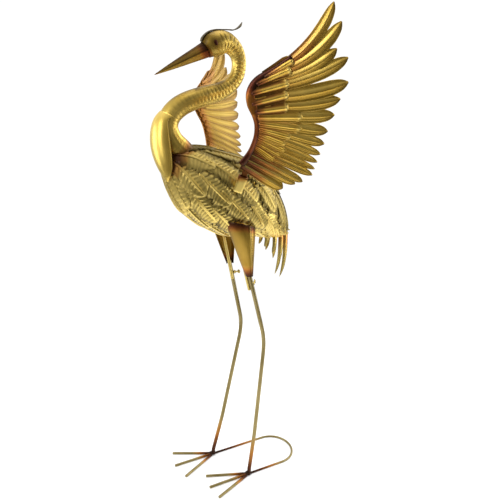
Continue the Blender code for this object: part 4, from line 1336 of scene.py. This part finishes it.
# %% Brackets
BRACKET_LENGTH = 0.0340
BRACKET_WALL = 0.0020
BRACKET_PLAY = 0.0022
BRACKET_BELOW_TAB = 0.0040
BRACKET_SCORCH = (0.0165, 0.0055)
bracket_low = TAB_TO + TAB_WAY * BRACKET_BELOW_TAB
bracket_high = bracket_low - TAB_WAY * BRACKET_LENGTH
for side, sign, drop in (("left", 1, 0.0), ("right", -1, RIGHT_WING_DROP)):
    bracket_bm = bmesh.new()
    bar_in_wing(
        bracket_bm, bracket_high, bracket_low, TAB_WIDTH + 2 * BRACKET_PLAY + BRACKET_WALL,
        TAB_THICK + 2 * BRACKET_PLAY + BRACKET_WALL, closed=False,
    )
    bmesh.ops.subdivide_edges(bracket_bm, edges=bracket_bm.edges, cuts=7, use_grid_fill=True)
    top_corner = max(vert.co.z for vert in bracket_bm.verts)

    def bracket_paint(co):
        weld = ramp(top_corner - co.z, *BRACKET_SCORCH)
        return 0.65 * weld, 0.0, 0.45 * (1 - weld)

    paint_points(bracket_bm, bracket_bm.verts, bracket_paint)
    bmesh.ops.scale(bracket_bm, vec=(1, sign, 1), verts=bracket_bm.verts)
    bmesh.ops.translate(bracket_bm, vec=(0, 0, -drop), verts=bracket_bm.verts)
    finish_piece(
        f"folded_bracket_{side}", bracket_bm, champagne, [f"wing_bracket_{side}"],
        sheet=BRACKET_WALL, rounding=0.0006,
    )

# %% [markdown]
# ## The thighs
#
# Each thigh is a half cone of sheet round the outside of the leg, open towards the other one. A
# crease runs down it with a row of small stitches punched along it, and its slanting top rim was
# scorched where it is welded to the body.

# %% Thighs
HIP_HEIGHT = 0.510
HIP_BACK = {"left": 0.0395, "right": 0.0405}
HIP_SPREAD = 0.094
KNEE_HEIGHT = 0.345
KNEE_BACK = {"left": 0.0815, "right": 0.0765}
FOOT_SPREAD = 0.101
LEFT_FOOT_BACK = 0.047
THIGH_TOP = 0.612
THIGH_TOP_BACK = 0.021
THIGH_TOP_LENGTH = 0.066
THIGH_TOP_DEPTH = 0.030
THIGH_FOOT = 0.502
THIGH_FOOT_LENGTH = 0.0175
THIGH_RIM_SLOPE = 0.32
THIGH_SET_IN = 0.25
THIGH_FOLD_AT = 0.16
THIGH_FOLD_RISE = 0.0018
STITCHES_AT = 0.24
STITCH_RATE = 130
STITCHES_END = 0.8
RIM_SCORCH = 0.13
TIP_SCORCH = (0.74, 1.0)
LEG_CLEAR = LEG_ROD / 2 / math.cos(math.pi / 8) + GAP


def side_sign(side):
    """The bird's left is towards minus Y."""
    return -1 if side == "left" else 1


def hip_place(side):
    """Where the leg rod enters the thigh."""
    return Vector((HIP_BACK[side], side_sign(side) * HIP_SPREAD / 2, HIP_HEIGHT))


def foot_place(side):
    """Where a leg comes down to the ground. The left foot is set behind the right one."""
    return Vector((LEFT_FOOT_BACK if side == "left" else 0.0, side_sign(side) * FOOT_SPREAD / 2, 0.0))


def knee_place(side):
    """The bend of a leg rod, halfway between hip and foot across the bird."""
    return Vector((KNEE_BACK[side], (foot_place(side).y + hip_place(side).y) / 2, KNEE_HEIGHT))


for side in ("left", "right"):
    outward = ACROSS * side_sign(side)
    hip = hip_place(side)
    direction = (hip - knee_place(side)).normalized()
    low_end = hip + direction * (THIGH_FOOT - hip.z) / direction.z
    top_end = Vector((THIGH_TOP_BACK, hip.y, THIGH_TOP))
    foot_depth = (LEG_CLEAR + SHEET) / math.cos(math.pi / 16) / (1 - THIGH_SET_IN)

    def thigh_place(u, v):
        against_body = (1 - v) ** 9 * math.cos(math.pi / 2 * u)
        centre = top_end.lerp(low_end, v) + (UPRIGHT * 0.007 - outward * 0.003) * against_body
        half = (THIGH_TOP_LENGTH + (THIGH_FOOT_LENGTH - THIGH_TOP_LENGTH) * v) / 2
        depth = THIGH_TOP_DEPTH + (foot_depth - THIGH_TOP_DEPTH) * v
        along_rim = Vector((1, 0, -THIGH_RIM_SLOPE * (1 - v)))
        inner = centre - outward * depth * THIGH_SET_IN
        angle = math.pi / 2 * u
        fold = THIGH_FOLD_RISE * bell(u - THIGH_FOLD_AT, 0.07) * (1 - v)
        half_in = half - SHEET / 2
        depth_in = depth - SHEET / 2 + fold
        return inner + along_rim * half_in * math.sin(angle) + outward * depth_in * math.cos(angle)

    def thigh_paint(u, v):
        rim = 0.92 * ramp(v, RIM_SCORCH + 0.06 * max(0.0, -u), 0.0)
        tip = 0.98 * ramp(v, *TIP_SCORCH)
        weld = max(rim, tip)
        # painted shade in the punched stitches and over the front half, and a painted highlight along the
        # crease; the scorched rim and tip are the lacquer's own colour
        punched = math.sin(v * STITCH_RATE) > 0 and v < STITCHES_END
        stitch = 0.8 * bell(u - STITCHES_AT, 0.06) if punched else 0.0
        shade = max(stitch, 0.8 * weld, 0.40 * max(0.0, -u))
        return weld, shade, 0.50 * bell(u - THIGH_FOLD_AT, 0.05) * (1 - weld)

    thigh_bm = bmesh.new()
    bend_sheet(thigh_bm, 64, 80, thigh_place, thigh_paint)
    finish_piece(
        f"thigh_half_cone_{side}", thigh_bm, copper, [f"thigh_{side}"], sheet=0.0013
    )

# %% [markdown]
# ## Legs, toes and heel loop
#
# These are plain steel rods, bent cold and welded. Drawing a ring along a smooth path gives each
# one round. Every foot is held by a lump of weld bead, and the rods are browned for a few
# centimetres round it. A peg stands against each leg inside the thigh, and a wing screw with a
# nut clamps the leg to it, so that the legs come off for packing.

# %% Rods
WELD_BROWNS = (0.0425, 0.0085)
KNEE_BEND_BELOW = 0.105
KNEE_BEND_ABOVE = 0.168
KNEE_BEND_STEPS = 8


def rod_paint(co):
    """Dark brown at the weld of the nearer foot, and clear gold from a third of a toe away."""
    near = min((co - foot_place(side)).length for side in ("left", "right"))
    weld = ramp(near, *WELD_BROWNS)
    return 0.85 * weld, weld, 0.0


def bent_rod(name, path, diameter, paint, nodes, side=UPRIGHT, sides=24):
    """A round rod drawn along a path, with a small chamfer at both ends."""
    radius = diameter / 2
    stations = [(point, across, up, radius, radius) for point, _, across, up in frames_along(path, side)]
    bm = bmesh.new()
    draw_tube(bm, stations, sides)
    paint_points(bm, bm.verts, paint)
    return finish_piece(name, bm, rod_gold, nodes, rounding=0.0006, crease=40)


for side in ("left", "right"):
    foot = foot_place(side)
    foot.z = TOE_ROD + GAP
    knee = knee_place(side)
    hip = hip_place(side)
    path = [foot, foot + Vector((0, 0, LEG_ROD)), foot.lerp(knee, 0.30) + Vector((0.002, 0, 0))]
    below = foot.lerp(knee, 1 - KNEE_BEND_BELOW)
    above = knee.lerp(hip, KNEE_BEND_ABOVE)
    for step in range(KNEE_BEND_STEPS + 1):
        t = step / KNEE_BEND_STEPS
        path.append(below * (1 - t) ** 2 + knee * 2 * t * (1 - t) + above * t**2)
    path.append(hip)
    bent_rod(f"leg_rod_{side}", path, LEG_ROD, rod_paint, [f"leg_{side}"], ACROSS)

# %% Heel loop
HEEL_WIRE = 0.0050
HEEL_REACH = 0.141
HEEL_STEPS = 48
loop_half = FOOT_SPREAD / 2
heel_start = LEG_ROD / 2 + GAP
heel_path = [(foot_place("right").x + heel_start, loop_half, HEEL_WIRE / 2)]
for step in range(HEEL_STEPS + 1):
    angle = math.pi / 2 - math.pi * step / HEEL_STEPS
    heel_path.append((HEEL_REACH + loop_half * math.cos(angle), loop_half * math.sin(angle), HEEL_WIRE / 2))
heel_path.append((foot_place("left").x + heel_start, -loop_half, HEEL_WIRE / 2))
bent_rod("heel_loop_wire", heel_path, HEEL_WIRE, rod_paint, ["heel_loop"])

# %% Toes and weld beads
TOE_LENGTH = 0.103
TOE_SPLAY = {"left": math.radians(20.7), "right": math.radians(25.7)}
BEAD_RADIUS = 0.0068
BEAD_STRETCH = (1.15, 1.0, 0.62)
BEAD_LUMPS = 0.22
BEAD_FROM_FOOT = Vector((-0.002, 0, 0.0022))
BEAD_OFF_FLOOR = 0.0002
for side in ("left", "right"):
    foot = foot_place(side) + UPRIGHT * TOE_ROD / 2
    for name, turn in (("inner", -1), ("middle", 0), ("outer", 1)):
        angle = TOE_SPLAY[side] * turn * side_sign(side)
        direction = Vector((-math.cos(angle), math.sin(angle), 0))
        start = foot + direction * (TOE_ROD if turn else -LEG_ROD / 2)
        path = [start, start.lerp(foot + direction * TOE_LENGTH, 0.5), foot + direction * TOE_LENGTH]
        bent_rod(f"toe_rod_{name}_{side}", path, TOE_ROD, rod_paint, [f"toe_{name}_{side}"])
    bead_bm = bmesh.new()
    lacquer_layers(bead_bm)
    bmesh.ops.create_icosphere(bead_bm, subdivisions=4, radius=BEAD_RADIUS)
    for vert in bead_bm.verts:
        lump = 1 + BEAD_LUMPS * noise.noise(vert.co * 420 + Vector((0, 0, side_sign(side))))
        vert.co = vert.co * Vector(BEAD_STRETCH) * lump + foot + BEAD_FROM_FOOT
        vert.co.z = max(vert.co.z, BEAD_OFF_FLOOR)
    paint_points(bead_bm, bead_bm.verts, lambda co: (0.95, 0.9, 0.0))
    finish_piece(f"weld_bead_{side}", bead_bm, rod_gold, [f"toe_middle_{side}"], crease=80)

# %% Pegs and wing screws
PEG_ROD = 0.0070
PEG_BELOW_HIP = 0.042
PEG_ABOVE_THIGH = 0.008
PEG_AHEAD = math.radians(30)
SCREW_BELOW_HIP = 0.029
SCREW_ROD = 0.0040
SCREW_LENGTH = 0.0150
SCREW_WING = (0.0095, 0.0065)
SCREW_WING_LAYERS = ((-0.5, 0.88), (-0.3, 1.0), (0.3, 1.0), (0.5, 0.88))
SCREW_BACK = math.radians(37)
NUT_SIZE = 0.0080
NUT_THICK = 0.0036
PEG_APART = LEG_CLEAR + PEG_ROD / 2 / math.cos(math.pi / 8)
for side in ("left", "right"):
    hip = hip_place(side)
    direction = (hip - knee_place(side)).normalized()
    inward = Vector((-math.sin(PEG_AHEAD), -side_sign(side) * math.cos(PEG_AHEAD), 0))
    line = hip + (inward - inward.dot(direction) * direction).normalized() * PEG_APART
    low = line + direction * (HIP_HEIGHT - PEG_BELOW_HIP - line.z) / direction.z
    high = line + direction * (THIGH_TOP + PEG_ABOVE_THIGH - line.z) / direction.z
    bent_rod(
        f"peg_rod_{side}", [high, low.lerp(high, 0.5), low], PEG_ROD,
        lambda co: (0.5 * max(0.0, (co.z - 0.59) / 0.02), 0.0, 0.55), [f"leg_peg_{side}"], ACROSS,
    )
    away = Vector((math.cos(SCREW_BACK), -side_sign(side) * math.sin(SCREW_BACK), 0))
    away = (away - away.dot(direction) * direction).normalized()
    cross = away.cross(direction).normalized()
    start = hip - direction * SCREW_BELOW_HIP / direction.z + away * LEG_CLEAR
    head = start + away * (SCREW_LENGTH - SCREW_WING[1] / 2)
    screw_bm = bmesh.new()
    stem = [
        (start.lerp(head, share), direction, cross, SCREW_ROD / 2, SCREW_ROD / 2)
        for share in (0.1, 0.5, 1)
    ]
    draw_tube(screw_bm, stem, 16)
    nut = [
        (start + away * NUT_THICK * share, direction, cross, NUT_SIZE / 2, NUT_SIZE / 2)
        for share in (0, 1)
    ]
    draw_tube(screw_bm, nut, 6)
    wing_half_long, wing_half_short = (measure / 2 for measure in SCREW_WING)
    oval = [
        (head + cross * SHEET * out, direction, away, wing_half_long * size, wing_half_short * size)
        for out, size in SCREW_WING_LAYERS
    ]
    draw_tube(screw_bm, oval, 24)
    paint_points(screw_bm, screw_bm.verts, lambda co: (0.0, 0.15, 0.35))
    finish_piece(f"wing_screw_{side}", screw_bm, rod_gold, [f"leg_screw_{side}"], crease=35)

# %% [markdown]
# ## The tail
#
# Four pairs of pointed strips droop under the rump, each creased along its middle. They were cut
# from thin sheet and welded under the last plates, so their roots went copper red.

# %% Tail strips
TAIL_STRIPS = (
    (0.101, 0.012, 0.550, 0.002),
    (0.120, 0.014, 0.533, 0.002),
    (0.137, 0.013, 0.511, 0.001),
    (0.1505, 0.010, 0.473, 0.005),
)
TAIL_WIDTH = 0.0110
TAIL_ROOT = 0.587
TAIL_OUTLINE = ((0.0, 1.0), (0.45, 1.0), (0.80, 0.75), (0.93, 0.42), (1.0, 0.04))
TAIL_CREASE = 0.0016
TAIL_BULGE = 0.0015
TAIL_HOOK = 1.3
TAIL_HEAT = (0.30, 0.30, 0.58, 0.58)
TAIL_SCORCH = 0.62
for index, (back, aside, tip_height, hook) in enumerate(TAIL_STRIPS, start=1):
    for side in ("left", "right"):
        sign = side_sign(side)

        def strip_place(u, v):
            ridge = TAIL_CREASE * (1 - abs(u)) * (1 - v)
            height = TAIL_ROOT - (TAIL_ROOT - tip_height) * v
            half = TAIL_WIDTH / 2 * table_value(TAIL_OUTLINE, v)
            curl = TAIL_BULGE * math.sin(math.pi * v) - hook * v**3 * (1 + TAIL_HOOK * v**2)
            return Vector((back + curl + half * u, sign * (aside + ridge), height))

        def strip_paint(u, v):
            heat = TAIL_HEAT[index - 1] * ramp(v, TAIL_SCORCH, 0.0)
            shade = 0.40 * ramp(v, 0.6, 1.0) + 0.3 * ramp(abs(u), 0.7, 1.0)
            # a painted highlight down the crease, and darker tips and edges
            return heat, shade, 0.60 * bell(u, 0.45)

        strip_bm = bmesh.new()
        bend_sheet(strip_bm, 8, 24, strip_place, strip_paint)
        finish_piece(
            f"tail_blade_{index}_{side}", strip_bm, champagne,
            [f"tail_strip_{index}_{side}"], sheet=0.0012, crease=30,
        )
print("CAD nodes still shown:", sorted(name for name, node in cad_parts.items() if not node.hide_render))
